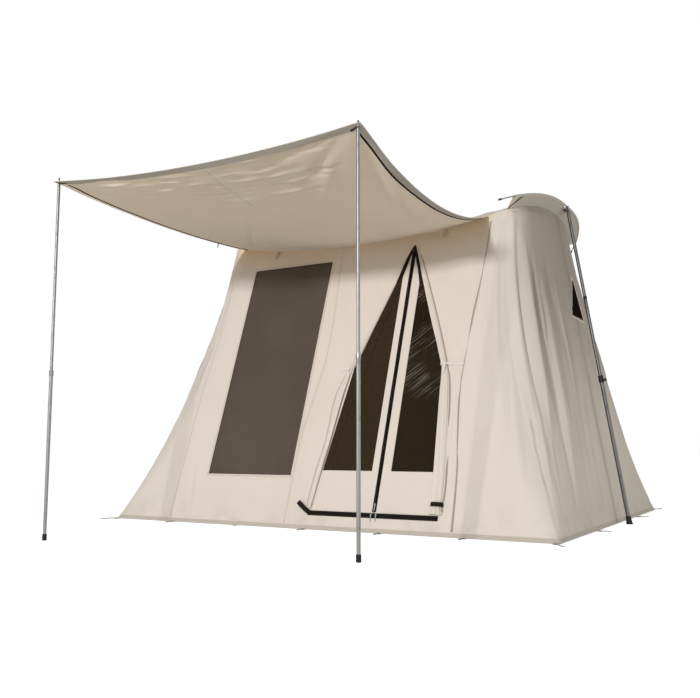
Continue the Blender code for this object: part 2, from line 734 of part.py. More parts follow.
def build_door(finish):
    """Netting halves that fold about the lines from the apex to the lower corners, fixed netting
    outside those lines, and the centre and sill zips."""
    half = door_half()
    opening = inset(half, [DOOR_KICK_HEIGHT, DOOR_BORDER, DOOR_CENTRE_BORDER])
    netting = inset(opening, [GAP] * 3)
    outside = [(DOOR_HALF_WIDTH, DOOR_SILL), (TIE_HALF_WIDTH, TIE_HEIGHT), (0, DOOR_APEX)]
    side_netting = inset(outside, [DOOR_ROOM, DOOR_ROOM, DOOR_PLAY / 2])
    for side, word in ((-1, "left"), (1, "right")):
        wall_plate(f"door_{word}_panel", mirrored(half, side), finish["canvas"], 0, CANVAS,
                   [mirrored(opening, side)])
        wall_plate(f"door_{word}_mesh", mirrored(netting, side), finish["netting"], 0, NETTING)
        wall_plate(f"door_{word}_side_mesh", mirrored(side_netting, side), finish["netting"],
                   0, NETTING)
    left, right = DOOR_X - ZIP_WIDTH / 2, DOOR_X + ZIP_WIDTH / 2
    low, high = half[0][1], half[2][1] - ZIP_END_ROOM
    wall_plate("door_centre_zip", [(left, low), (right, low), (right, high), (left, high)],
               finish["zip"], 0, ZIP_THICKNESS)
    left, right = DOOR_X - DOOR_HALF_WIDTH, DOOR_X + DOOR_HALF_WIDTH
    high = DOOR_SILL - SILL_ZIP_DROP
    low = high - SILL_ZIP_HEIGHT
    wall_plate("door_sill_zip", [(left, low), (right, low), (right, high), (left, high)],
               finish["zip"], CANVAS + GAP, CANVAS + GAP + ZIP_THICKNESS)


def build_flaps(finish):
    """Each outer flap is folded back on the wall from the apex, past its tie, to the sill."""
    for side, word in ((-1, "left"), (1, "right")):
        stops = [FLAP_TOP, FLAP_UPPER, (TIE_HALF_WIDTH, TIE_HEIGHT), FLAP_LOWER, FLAP_FOOT]
        route = [(*stop, share) for stop, share in zip(stops, FLAP_SHARES)]
        rings = []
        for reach, height, share in smooth_route(route, FLAP_STATIONS):
            ring = []
            for k in range(FLAP_SIDES):
                angle = 2 * math.pi * k / FLAP_SIDES
                across = reach + FLAP_WIDTH * share * (0.5 + 0.5 * math.cos(angle))
                out = CANVAS + GAP + FLAP_DEPTH * share * (0.5 + 0.5 * math.sin(angle))
                ring.append(wall_point(DOOR_X + side * across, height, out))
            rings.append(ring)
        swept(f"door_{word}_flap", rings, finish["canvas"])


def smooth_route(stops, count):
    """A smooth curve through stops of any number of values, evenly spaced in the stops' order."""
    stops = np.array(stops, float)
    padded = np.vstack([2 * stops[0] - stops[1], stops, 2 * stops[-1] - stops[-2]])
    out = []
    for place_at in np.linspace(0, len(stops) - 1, count):
        i = min(int(place_at), len(stops) - 2)
        f = place_at - i
        a, b, c, d = padded[i:i + 4]
        out.append(0.5 * (2 * b + (c - a) * f + (2 * a - 5 * b + 4 * c - d) * f ** 2
                          + (3 * b - a - 3 * c + d) * f ** 3))
    return out


def slider(name, x, z, base_out, direction, finish):
    """A zip slider with its pull, flat on a zip; direction is the pull's way along the wall."""
    across = Vector((1, 0, 0))
    up = WALL_OUT.cross(across).normalized()
    if up.z < 0:
        up = -up
    along = across * direction[0] + up * direction[1]
    cross = WALL_OUT.cross(along)
    centre = wall_point(x, z, base_out + GAP)
    half_length, half_width = SLIDER_LENGTH / 2, SLIDER_WIDTH / 2
    outline = [(-half_length, -half_width), (half_length, -half_width),
               (half_length, -PULL_WIDTH / 2), (half_length + PULL_LENGTH, -PULL_WIDTH / 2),
               (half_length + PULL_LENGTH, PULL_WIDTH / 2), (half_length, PULL_WIDTH / 2),
               (half_length, half_width), (-half_length, half_width)]
    work = bmesh.new()
    corners = [work.verts.new(along * a + cross * b) for a, b in outline]
    bodies = [[0, 1, 6, 7], [1, 2, 5, 6], [2, 3, 4, 5]]
    for loop in bodies:
        work.faces.new([corners[i] for i in loop])
    grown = bmesh.ops.extrude_face_region(work, geom=work.faces[:])
    moved = [e for e in grown["geom"] if isinstance(e, bmesh.types.BMVert)]
    for v in moved:
        in_body = v.co.dot(along) < half_length + NEARLY
        v.co += WALL_OUT * (SLIDER_DEPTH if in_body else PULL_DEPTH)
    bmesh.ops.recalc_face_normals(work, faces=work.faces)
    mesh = bpy.data.meshes.new(name)
    work.to_mesh(mesh)
    work.free()
    obj = add_object(name, mesh, finish["plated"])
    obj.location = centre
    return obj


def build_sliders(finish):
    slider("door_centre_slider", DOOR_X, DOOR_SILL + SLIDER_LENGTH + PULL_LENGTH,
           ZIP_THICKNESS, (0, -1), finish)
    height = DOOR_SILL - SILL_ZIP_DROP - SILL_ZIP_HEIGHT / 2
    for side, word in ((-1, "left"), (1, "right")):
        slider(f"door_{word}_slider", DOOR_X + side * SLIDER_SPACING, height,
               CANVAS + GAP + ZIP_THICKNESS, (0, -1), finish)


def build_awning_poles(finish):
    bore = AWNING_TUBE_RADIUS + TUBE_CLEARANCE
    inside = AWNING_TUBE_RADIUS - TUBE_WALL
    for word, foot in zip(("left", "right"), pin_places()):
        cloth = awning_at(foot.x, foot.y).z
        shoulder = cloth - PIN_SHOULDER
        tip = cloth + PIN_ABOVE
        upper = turned(f"awning_{word}_upper_tube", [
            (0, tip), (PIN_RADIUS * 0.6, tip - PIN_TIP / 3),
            (PIN_RADIUS, tip - PIN_TIP), (PIN_RADIUS, shoulder + TUBE_EDGE),
            (AWNING_TUBE_RADIUS * 0.8, shoulder + TUBE_EDGE / 3),
            (AWNING_TUBE_RADIUS, shoulder - TUBE_EDGE),
            (AWNING_TUBE_RADIUS, AWNING_JOINT - AWNING_OVERLAP),
            (inside, AWNING_JOINT - AWNING_OVERLAP), (inside, shoulder - TUBE_END_WALL),
            (0, shoulder - TUBE_END_WALL)], finish["galvanised"], False)
        place(upper, foot)
        lower = turned(f"awning_{word}_lower_tube", tube_profile(
            AWNING_LOWER_RADIUS, bore, FOOT_SOLE + GAP, AWNING_JOINT), finish["galvanised"], True)
        place(lower, foot)
        collar_bore = AWNING_LOWER_RADIUS + TUBE_CLEARANCE
        collar_radius = collar_bore + LOCK_COLLAR_WALL
        collar_high = AWNING_JOINT + LOCK_COLLAR_LIP
        collar_low = collar_high - LOCK_COLLAR_LENGTH
        collar = turned(f"awning_{word}_lock_collar", [
            (collar_radius, collar_low), (collar_radius, collar_high),
            (bore, collar_high), (bore, AWNING_JOINT + GAP),
            (collar_bore, AWNING_JOINT + GAP), (collar_bore, collar_low)],
            finish["black_plastic"], True, TUBE_SIDES, 12, LOCK_COLLAR_WAVE)
        place(collar, foot)
        sole = turned(f"awning_{word}_foot", [
            (0, 0), (AWNING_FOOT_RADIUS - FOOT_EDGE, 0), (AWNING_FOOT_RADIUS, FOOT_EDGE),
            (AWNING_FOOT_RADIUS, AWNING_FOOT_HEIGHT - FOOT_EDGE),
            (AWNING_FOOT_RADIUS - FOOT_EDGE / 2, AWNING_FOOT_HEIGHT),
            (AWNING_LOWER_RADIUS + TUBE_CLEARANCE, AWNING_FOOT_HEIGHT),
            (AWNING_LOWER_RADIUS + TUBE_CLEARANCE, FOOT_SOLE), (0, FOOT_SOLE)],
            finish["rubber"], False)
        place(sole, foot)


def pole_line(side):
    """Foot point and direction of an end pole, from the ground to the bar's middle."""
    foot = Vector((side * (HALF_LENGTH + POLE_FOOT_OUT), MIDDLE_Y, 0))
    head = bar_point(0, side)
    return foot, (head - foot).normalized(), (head - foot).length


def build_end_poles(finish):
    for side, word in ((-1, "left"), (1, "right")):
        foot, axis, reach = pole_line(side)
        out = Vector((side, 0, 0))
        out = (out - axis * out.dot(axis)).normalized()
        bore = POLE_RADIUS - POLE_WALL
        head = reach - SADDLE_BELOW
        place(turned(f"{word}_end_pole_top_tube", tube_profile(
            POLE_RADIUS, bore, POLE_SPLICE, head - GAP), finish["galvanised"], True), foot, axis)
        neck_bore = POLE_NECK_RADIUS - POLE_WALL
        splice = POLE_SPLICE - GAP
        place(turned(f"{word}_end_pole_middle_tube", [
            (POLE_RADIUS, POLE_JOINT - POLE_OVERLAP), (POLE_RADIUS, splice),
            (POLE_NECK_RADIUS, splice), (POLE_NECK_RADIUS, splice + POLE_NECK_LENGTH),
            (neck_bore, splice + POLE_NECK_LENGTH), (neck_bore, splice - POLE_NECK_SLOPE),
            (bore, splice - 2 * POLE_NECK_SLOPE), (bore, POLE_JOINT - POLE_OVERLAP)],
            finish["galvanised"], True), foot, axis)
        lower_bore = POLE_LOWER_RADIUS - POLE_WALL
        lower = place(turned(f"{word}_end_pole_lower_tube", tube_profile(
            POLE_LOWER_RADIUS, lower_bore, 2 * FOOT_SOLE + GAP, POLE_JOINT),
            finish["galvanised"], True), foot, axis)
        collar_bore = POLE_LOWER_RADIUS + TUBE_CLEARANCE
        lip_bore = POLE_RADIUS + TUBE_CLEARANCE
        collar = place(turned(f"{word}_end_pole_collar", [
            (COLLAR_RADIUS, POLE_JOINT - COLLAR_BELOW), (COLLAR_RADIUS, POLE_JOINT + COLLAR_ABOVE),
            (lip_bore, POLE_JOINT + COLLAR_ABOVE), (lip_bore, POLE_JOINT + GAP),
            (collar_bore, POLE_JOINT + GAP), (collar_bore, POLE_JOINT - COLLAR_BELOW)],
            finish["black_plastic"], True), foot, axis)
        screw_centre = foot + axis * (POLE_JOINT - SCREW_BELOW_JOINT)
        boss = place(turned(f"{word}_collar_boss", [
            (0, COLLAR_RADIUS - BOSS_SUNK), (BOSS_RADIUS, COLLAR_RADIUS - BOSS_SUNK),
            (BOSS_RADIUS, BOSS_REACH), (0, BOSS_REACH)], finish["black_plastic"], False),
            screw_centre, out)
        hole_radius = SCREW_RADIUS + TUBE_CLEARANCE
        hole = place(turned(f"{word}_screw_hole", [
            (0, 0), (hole_radius, 0), (hole_radius, 2 * BOSS_REACH), (0, 2 * BOSS_REACH)],
            finish["black_plastic"], False), screw_centre, out)
        join(collar, boss, "boss")
        cut(collar, hole, "screw hole")
        cut(lower, hole, "screw hole")
        knob_low = BOSS_REACH + GAP
        place(turned(f"{word}_end_pole_knob", [
            (0, POLE_RADIUS + TUBE_CLEARANCE), (SCREW_RADIUS, POLE_RADIUS + TUBE_CLEARANCE),
            (SCREW_RADIUS, knob_low), (KNOB_RADIUS * 0.9, knob_low),
            (KNOB_RADIUS, knob_low + KNOB_EDGE), (KNOB_RADIUS, knob_low + KNOB_LENGTH - KNOB_EDGE),
            (KNOB_RADIUS * 0.8, knob_low + KNOB_LENGTH), (0, knob_low + KNOB_LENGTH)],
            finish["black_plastic"], False, TUBE_SIDES, 6, KNOB_WAVE), screw_centre, out)
        build_pole_foot(word, foot, axis, finish)
        build_saddle(word, side, foot, axis, out, reach, finish)


def build_pole_foot(word, foot, axis, finish):
    """A rubber boot about the leaning tube, with a sole flat on the ground."""
    bore = POLE_LOWER_RADIUS + TUBE_CLEARANCE
    boot = place(turned(f"{word}_end_pole_foot", [
        (0, 0), (POLE_FOOT_RADIUS, 0), (POLE_FOOT_NECK, POLE_FOOT_HEIGHT * 0.7),
        (POLE_FOOT_NECK, POLE_FOOT_HEIGHT), (bore, POLE_FOOT_HEIGHT), (bore, 2 * FOOT_SOLE),
        (0, 2 * FOOT_SOLE)], finish["rubber"], False), foot, axis)
    for vertex in boot.data.vertices:
        if abs(vertex.co.z) < NEARLY:
            world = boot.matrix_world @ vertex.co
            vertex.co.z -= world.z / axis.z


def build_saddle(word, side, foot, axis, out, reach, finish):
    """A forked head in the pole's top, with the spring bar lying in its groove."""
    groove = BAR_RADIUS + GAP
    wide, low, high = SADDLE_HALF_WIDTH, -SADDLE_BELOW, SADDLE_ABOVE
    outline = [(-wide, low), (wide, low), (wide, high), (groove, high), (groove, -groove),
               (-groove, -groove), (-groove, high), (-wide, high)]
    along_y = axis.cross(out)
    centre = foot + axis * reach
    work = bmesh.new()
    corners = [work.verts.new(out * a + axis * b - along_y * SADDLE_HALF_LENGTH)
               for a, b in outline]
    face = work.faces.new(corners)
    grown = bmesh.ops.extrude_face_region(work, geom=[face])
    moved = [e for e in grown["geom"] if isinstance(e, bmesh.types.BMVert)]
    bmesh.ops.translate(work, verts=moved, vec=along_y * 2 * SADDLE_HALF_LENGTH)
    bmesh.ops.recalc_face_normals(work, faces=work.faces)
    mesh = bpy.data.meshes.new(f"{word}_end_pole_saddle")
    work.to_mesh(mesh)
    work.free()
    saddle = add_object(f"{word}_end_pole_saddle", mesh, finish["plated"])
    saddle.location = centre
    plug_radius = POLE_RADIUS - POLE_WALL - TUBE_CLEARANCE
    plug = place(turned(f"{word}_saddle_plug", [
        (0, -SADDLE_BELOW - SADDLE_PLUG_LENGTH), (plug_radius, -SADDLE_BELOW - SADDLE_PLUG_LENGTH),
        (plug_radius, SADDLE_PLUG_SUNK - SADDLE_BELOW), (0, SADDLE_PLUG_SUNK - SADDLE_BELOW)],
        finish["plated"], False), centre, axis)
    join(saddle, plug, "plug")


def hem(name, low_points, high_points, tabs, outward, finish):
    """A webbing band up the foot of a wall, with peg tabs lying on the ground. The points run
    along the hem; tabs holds the index of each tab's first point."""
    points = [*high_points, *low_points]
    count = len(low_points)
    faces = [(i, i + 1, count + i + 1, count + i) for i in range(count - 1)]
    for i in tabs:
        base = len(points)
        points += [low_points[i] + outward * TAB_LENGTH, low_points[i + 1] + outward * TAB_LENGTH]
        faces.append((count + i, count + i + 1, base + 1, base))
    mesh = mesh_from(name, points, faces)
    obj = add_object(name, mesh, finish["webbing"])
    thicken(obj, WEBBING)
    return obj


def along_with_tabs(low, high, centres):
    """Stations from low to high with both edges of each tab, and the index where each starts."""
    stops = [low]
    starts = []
    for centre in centres:
        a = max(low, centre - TAB_WIDTH / 2)
        b = min(high, centre + TAB_WIDTH / 2)
        if a > stops[-1] + NEARLY:
            stops.append(a)
        starts.append(len(stops) - 1)
        stops.append(b)
    if stops[-1] < high - NEARLY:
        stops.append(high)
    return stops, starts


def front_tab_centres():
    end = HALF_LENGTH - HEM_CORNER_ROOM - TAB_WIDTH / 2
    inner = [k * TAB_SPACING for k in (-2, -1, 0, 1, 2)]
    return [-end, *inner, end]


def build_hems(finish):
    stand = CANVAS + GAP + WEBBING / 2
    end_stand = CANVAS / 2 + SEW_GAP + GAP + WEBBING / 2
    floor_level = WEBBING / 2 + HEM_LIFT
    stops, tabs = along_with_tabs(-HALF_LENGTH + HEM_CORNER_ROOM, HALF_LENGTH - HEM_CORNER_ROOM,
                                  front_tab_centres())
    low_out = stand + floor_level * LEAN
    for word, turn in (("front", 0), ("rear", math.pi)):
        low = [wall_point(x, 0, low_out) for x in stops]
        for p in low:
            p.z = floor_level
        high = [wall_point(x, HEM_BAND_HEIGHT, stand) for x in stops]
        obj = hem(f"{word}_hem", low, high, tabs, Vector((0, -1, 0)), finish)
        if turn:
            flip = Matrix.Translation((0, 2 * MIDDLE_Y, 0)) @ Matrix.Rotation(turn, 4, "Z")
            obj.data.transform(flip)
    room = HEM_CORNER_ROOM + 2 * (CANVAS + WEBBING)
    ends = DEPTH / 2 - room
    extra = [k * ends / 6 for k in range(-5, 6)]
    for side, word in ((-1, "left"), (1, "right")):
        stops, tabs = along_with_tabs(-ends, ends, [-END_TAB_Y, END_TAB_Y])
        more = [y for y in extra if min(abs(y - s) for s in stops) > TAB_WIDTH]
        full = sorted(stops + more)
        starts = [full.index(stops[i]) for i in tabs]
        low, high = [], []
        for y in full:
            top = end_wall_point(y / (DEPTH / 2), HEM_BAND_HEIGHT / EAVE_HEIGHT, side)
            low.append(Vector((side * (HALF_LENGTH + end_stand), MIDDLE_Y + y, floor_level)))
            high.append(Vector((top.x + side * end_stand, MIDDLE_Y + y, top.z)))
        if side < 0:
            low.reverse()
            high.reverse()
            starts = [len(full) - 2 - i for i in starts]
        hem(f"{word}_hem", low, high, starts, Vector((side, 0, 0)), finish)


def peg(name, start, direction, finish):
    """A steel peg lying on its tab: a straight shank that ends in a hook."""
    cross = Vector((-direction.y, direction.x, 0))
    height = Vector((0, 0, WEBBING + HEM_LIFT + GAP + PEG_RADIUS))
    points = [start + height + direction * a for a in np.linspace(0, PEG_LENGTH, 5)]
    for k in range(1, 7):
        angle = math.pi * k / 6
        points.append(points[4] + direction * PEG_HOOK / 2 * math.sin(angle)
                      + cross * PEG_HOOK / 2 * (1 - math.cos(angle)))
    return rod(name, points, PEG_RADIUS, finish["galvanised"])


def build_pegs(finish):
    tab_x = HALF_LENGTH - HEM_CORNER_ROOM - TAB_WIDTH / 2
    for way, word in ((-1, "front"), (1, "rear")):
        hem_y = FRONT_Y if way < 0 else REAR_Y
        for side, side_word in ((-1, "left"), (1, "right")):
            start = Vector((side * tab_x, hem_y + way * PEG_START, 0))
            direction = Vector((side * math.sin(PEG_TURN), way * math.cos(PEG_TURN), 0))
            peg(f"{word}_{side_word}_peg", start, direction, finish)


def main():
    clear_scene()
    finish = finishes()
    build_floor(finish)
    build_front_and_rear(finish)
    build_end_walls(finish)
    build_roof(finish)
    build_sleeves_and_bars(finish)
    build_awning(finish)
    build_door(finish)
    build_flaps(finish)
    build_sliders(finish)
    build_awning_poles(finish)
    build_end_poles(finish)
    build_hems(finish)
    build_pegs(finish)


main()
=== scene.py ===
"""The canvas cabin tent's visible pieces and finishes, its light and its camera, built on the
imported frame. Metres, +Z up, the front faces -Y."""

import math

import bpy
import numpy as np
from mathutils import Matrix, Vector


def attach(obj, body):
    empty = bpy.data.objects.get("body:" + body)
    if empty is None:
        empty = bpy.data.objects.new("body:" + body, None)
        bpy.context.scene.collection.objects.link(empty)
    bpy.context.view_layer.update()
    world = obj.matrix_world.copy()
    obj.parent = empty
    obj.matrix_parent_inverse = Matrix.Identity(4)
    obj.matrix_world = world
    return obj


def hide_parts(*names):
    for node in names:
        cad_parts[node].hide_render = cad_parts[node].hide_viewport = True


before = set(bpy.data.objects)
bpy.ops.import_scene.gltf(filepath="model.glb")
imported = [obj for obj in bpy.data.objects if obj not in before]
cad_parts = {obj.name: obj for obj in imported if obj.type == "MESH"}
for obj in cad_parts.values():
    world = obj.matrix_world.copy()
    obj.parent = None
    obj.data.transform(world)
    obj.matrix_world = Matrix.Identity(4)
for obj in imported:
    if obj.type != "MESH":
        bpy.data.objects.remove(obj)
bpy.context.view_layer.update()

bl_info = {
    "name": "Canvas cabin tent",
    "version": (1, 0, 0),
    "blender": (4, 5, 0),
    "location": "3D View > Sidebar > Tent",
    "description": "Cloth, netting, zips, webbing and finishes for a canvas cabin tent",
    "category": "Object",
}

# Sizes of the frame, as the part has them
LENGTH = 3.05
DEPTH = 2.60
ROOF_HALF_LENGTH = 1.06
WALL_INSET = 0.687
EAVE_HEIGHT = 1.970
EAVE_SAG = 0.104
RIDGE_MIDDLE = 2.02
END_SEAM_X = 1.19
END_SEAM_HEIGHT = 2.060
FRONT_Y = -0.765345
CANVAS = 0.0015
NETTING = 0.0008
GAP = 0.0004
SEW_GAP = 0.0009
HEM_HEIGHT = 0.0038
BAR_RADIUS = 0.004
BAR_HEIGHT = 2.11
BAR_X = 1.267
BAR_HALF_SPAN = 0.81
BAR_DROP = 0.133
BAR_SWEEP = 0.197
BAR_BEND = 2.65
SLEEVE_END = 0.70
SLEEVE_NOTCH = 0.045
SLEEVE_RADIUS = 0.00625
SLEEVE_TAIL = 0.010
SLEEVE_WRAP_START = math.radians(20)
SLEEVE_WRAP = math.radians(290)
WINDOW_LEFT, WINDOW_RIGHT = -0.822, -0.176
WINDOW_BOTTOM, WINDOW_TOP = 0.311, 1.752
DOOR_X = 0.445
DOOR_SILL = 0.112
DOOR_APEX = 1.800
DOOR_HALF_WIDTH = 0.430
TIE_HEIGHT = 0.975
TIE_HALF_WIDTH = 0.300
DOOR_CENTRE_BORDER = (0.050, 0.064)
DOOR_KICK_TOP = 0.3446
ZIP_HALF_WIDTH = 0.005
SILL_ZIP_LOW, SILL_ZIP_HIGH = 0.080, 0.110
END_WINDOW_SHARE = (0.655, 0.785)
END_WINDOW_FRONT = (-0.12, 0.12)
END_WINDOW_REAR = (0.24, 0.15)
AWNING_FRONT_LEFT = (-0.892, FRONT_Y - 1.187, 1.936)
AWNING_FRONT_RIGHT = (0.987, FRONT_Y - 1.092, 1.936)
AWNING_REAR_X = (-0.985, 0.934)
AWNING_REAR_DROP = 0.012
AWNING_REAR_OUT = 0.0024
AWNING_FRONT_SAG = 0.055
AWNING_SIDE_SAG = (0.037, 0.145)
PIN_PLACES = ((-0.870, -1.930345), (0.965, -1.835345))
HEM_CORNER_ROOM = 0.006
TAB_LENGTH = 0.036
TAB_WIDTH = 0.025
TAB_SPACING = 0.508
END_TAB_Y = 0.560
PEG_LENGTH = 0.105
PEG_HOOK = 0.014
PEG_START = 0.016
PEG_LEVEL = 0.0051
POLE_SPLICE = 1.490
POLE_FOOT_OUT = 0.077

HALF_LENGTH = LENGTH / 2
REAR_Y = FRONT_Y + DEPTH
MIDDLE_Y = FRONT_Y + DEPTH / 2
LEAN = WALL_INSET / EAVE_HEIGHT
LEAN_ANGLE = math.atan(LEAN)
EAVE_HALF_DEPTH = DEPTH / 2 - WALL_INSET
WALL_OUT = np.array([0.0, -math.cos(LEAN_ANGLE), math.sin(LEAN_ANGLE)])
WALL_UP = np.array([0.0, math.sin(LEAN_ANGLE), math.cos(LEAN_ANGLE)])

# How far each pair of hips is drawn in at its seam, how deep its rounding goes, and how the
# rounding is shared between X and Y
FRONT_HIP = (0.075, 0.085)
REAR_HIP = (0.045, 0.050)
PULL_ALONG_X, PULL_ALONG_Y = 0.66, 0.75
ROUNDING_REACH = 2.87

# Seams of the front wall, as (x, z) from the top down
RIGHT_SEAM = ((0.955, 1.90), (0.948, 1.70), (0.904, 1.24), (0.878, 0.87), (0.902, 0.51),
              (0.924, 0.37), (0.935, 0.03))
LEFT_SEAM = ((-1.036, 1.955), (-1.045, 1.30), (-1.056, 0.53), (-1.060, 0.03))
STRIP_SEAM = ((-0.112, 1.87), (-0.108, 1.75), (-0.076, 1.11), (-0.148, 0.59), (-0.160, 0.03))

# Sides of the door opening as (distance from its middle, z), then each flap's inner edge, height,
# width and depth
DOOR_LEFT_SIDE = ((0.04, EAVE_HEIGHT), (0.002, DOOR_APEX), (TIE_HALF_WIDTH, TIE_HEIGHT),
                  (DOOR_HALF_WIDTH, DOOR_SILL))
DOOR_RIGHT_SIDE = ((0.04, EAVE_HEIGHT), (0.002, DOOR_APEX), (0.303, 0.961), (0.341, 0.344),
                   (0.355, DOOR_SILL))
FLAP_STOPS = {
    -1: ((0.004, 1.790, 0.010, 0.006), (0.100, 1.530, 0.018, 0.008), (0.200, 1.250, 0.022, 0.010),
         (0.300, 0.985, 0.032, 0.014), (0.318, 0.895, 0.054, 0.024), (0.336, 0.780, 0.070, 0.030),
         (0.366, 0.530, 0.050, 0.028), (0.394, 0.334, 0.052, 0.028), (0.424, 0.120, 0.040, 0.022)),
    1: ((0.004, 1.790, 0.012, 0.006), (0.045, 1.680, 0.022, 0.010), (0.085, 1.560, 0.034, 0.013),
        (0.195, 1.250, 0.044, 0.016), (0.300, 0.970, 0.036, 0.014), (0.312, 0.800, 0.062, 0.026),
        (0.338, 0.344, 0.078, 0.030), (0.345, 0.210, 0.074, 0.028), (0.351, 0.168, 0.060, 0.022),
        (0.345, 0.112, 0.080, 0.038)),
}

# Creases as (p0, q0, p1, q1, width, height); a line's height fades to nothing at its ends
FRONT_CREASES = (
    (0.985, 2.10, 1.170, 0.55, 0.028, 0.012),
    (1.045, 1.95, 1.130, 0.90, 0.020, -0.009),
    (1.100, 1.90, 1.300, 0.20, 0.030, 0.012),
    (1.150, 1.60, 1.230, 0.50, 0.018, -0.008),
    (1.210, 1.20, 1.340, 0.05, 0.022, 0.008),
    (0.960, 1.70, 0.985, 0.30, 0.016, 0.005),
    (0.960, 2.00, 0.904, 1.10, 0.011, -0.008),
    (0.904, 1.40, 0.872, 0.70, 0.011, -0.009),
    (0.872, 1.00, 0.935, 0.10, 0.011, -0.007),
    (0.930, 1.95, 0.880, 1.00, 0.020, 0.007),
    (0.870, 1.05, 0.840, 0.20, 0.012, 0.006),
    (0.845, 0.95, 0.880, 0.45, 0.010, -0.005),
    (-0.870, 0.42, -0.835, -0.15, 0.035, -0.008),
    (-0.900, 0.00, -0.990, 0.48, 0.022, -0.010),
    (-0.860, -0.05, -0.940, 0.40, 0.022, 0.008),
    (-1.020, 1.80, -1.150, 0.70, 0.020, 0.005),
    (-1.080, 1.60, -1.300, 0.40, 0.030, -0.006),
    (-0.060, 1.30, -0.030, 0.55, 0.014, 0.005),
    (-0.110, 0.92, -0.120, 0.15, 0.016, -0.006),
    (0.300, 1.98, 0.900, 1.76, 0.020, -0.004),
)
AWNING_CREASES = (
    (0.53, 0.24, 0.05, 1.00, 0.009, 0.008),
    (1.02, -0.03, 0.84, 0.52, 0.030, 0.018),
    (1.00, 0.02, 0.90, 0.70, 0.022, -0.016),
    (1.00, -0.02, 0.70, 0.22, 0.016, 0.010),
    (1.00, 0.00, 0.60, 0.09, 0.012, 0.008),
    (0.90, 0.05, 0.72, 0.34, 0.014, -0.008),
    (0.26, 0.045, 0.50, 0.060, 0.007, 0.009),
    (0.30, 0.070, 0.46, 0.085, 0.006, 0.008),
    (0.34, 0.095, 0.50, 0.100, 0.006, -0.006),
    (0.33, 0.120, 0.48, 0.130, 0.007, 0.007),
    (0.20, 0.060, 0.36, 0.075, 0.006, -0.007),
    (0.36, 0.030, 0.56, 0.040, 0.006, -0.006),
    (0.42, 0.145, 0.58, 0.165, 0.008, 0.006),
    (0.58, 0.050, 0.76, 0.065, 0.007, 0.008),
    (0.60, 0.085, 0.72, 0.095, 0.006, -0.006),
    (0.62, 0.115, 0.80, 0.105, 0.008, 0.006),
    (0.70, 0.035, 0.86, 0.045, 0.006, 0.006),
    (-0.02, -0.01, 0.34, 0.055, 0.012, 0.010),
    (-0.02, 0.00, 0.22, 0.30, 0.025, 0.008),
    (-0.02, 1.00, 0.20, 0.86, 0.020, 0.010),
    (0.02, 1.02, 0.32, 0.93, 0.016, -0.008),
    (1.02, 1.00, 0.82, 0.88, 0.018, 0.010),
    (0.55, 1.02, 0.48, 0.80, 0.020, 0.006),
)
NET_CREASES = (
    (0.500, 1.02, 0.720, 1.22, 0.010, 0.004),
    (0.480, 0.86, 0.735, 1.02, 0.008, 0.004),
    (0.470, 0.76, 0.700, 0.93, 0.007, -0.003),
    (0.520, 1.22, 0.680, 1.38, 0.008, 0.003),
    (0.190, 0.40, 0.330, 1.10, 0.012, 0.004),
    (0.250, 1.00, 0.300, 1.30, 0.010, -0.003),
)
WINDOW_CREASES = (
    (-0.74, 0.34, -0.66, 0.92, 0.020, 0.005),
    (-0.50, 0.30, -0.44, 0.62, 0.016, -0.004),
    (-0.33, 0.30, -0.27, 0.80, 0.014, 0.005),
    (-0.26, 1.55, -0.21, 1.05, 0.012, 0.004),
    (-0.70, 1.74, -0.36, 1.70, 0.016, 0.004),
)
END_CREASES = (
    (-0.955, 1.10, -0.93, 0.20, 0.026, 0.016),
    (-0.875, 0.98, -0.85, 0.30, 0.022, -0.026),
    (-0.80, 0.92, -0.79, 0.20, 0.018, 0.020),
    (-0.72, 0.86, -0.68, 0.25, 0.022, -0.030),
    (-0.62, 0.82, -0.60, 0.05, 0.026, 0.018),
    (-0.50, 0.84, -0.50, 0.15, 0.016, -0.020),
    (-0.40, 0.80, -0.37, 0.20, 0.014, 0.014),
    (-0.30, 0.78, -0.34, 0.05, 0.020, -0.014),
    (-0.98, 0.70, -0.985, 0.05, 0.014, 0.010),
    (0.80, 0.90, 0.86, 0.20, 0.030, 0.016),
    (0.92, 0.90, 0.97, 0.10, 0.026, -0.012),
)

# Uneven waves as (height, size, seed), where a flap's height is a share of its depth, and the
# seeds and counts of the fine creases
RIPPLE_WAVES = 14
FRONT_RIPPLE = (0.0012, 0.30, 5)
END_RIPPLES = {-1: (0.0015, 0.25, 30), 1: (0.0015, 0.25, 32)}
ROOF_RIPPLE = (0.002, 0.3, 8)
AWNING_RIPPLE = (0.0015, 0.22, 3)
GROUND_RIPPLE = (0.0008, 0.4, 17)
FLAP_RIPPLES = {-1: (0.22, 0.16, 49), 1: (0.22, 0.16, 51)}
END_SEEDS = {-1: 23, 1: 11}
AWNING_SEED = 41
END_FINE_CREASES = 90
END_CREASE_GAIN = 1.25
WINDOW_CALM = 0.15
AWNING_FINE_CREASES = 64

# The roof's creases as (u, height) at each eave, and (end, t) from each bar
ROOF_FRONT_CREASES = ((-0.8, 0.006), (-0.5, -0.005), (-0.2, 0.005), (0.15, 0.006),
                      (0.45, -0.005), (0.75, 0.006))
ROOF_REAR_CREASES = ((-0.7, 0.006), (-0.35, 0.005), (0.0, -0.005), (0.3, 0.006), (0.62, 0.005),
                     (0.85, -0.005))
ROOF_BAR_CREASES = ((1.0, -0.5), (1.0, 0.45), (-1.0, -0.45), (-1.0, 0.5))

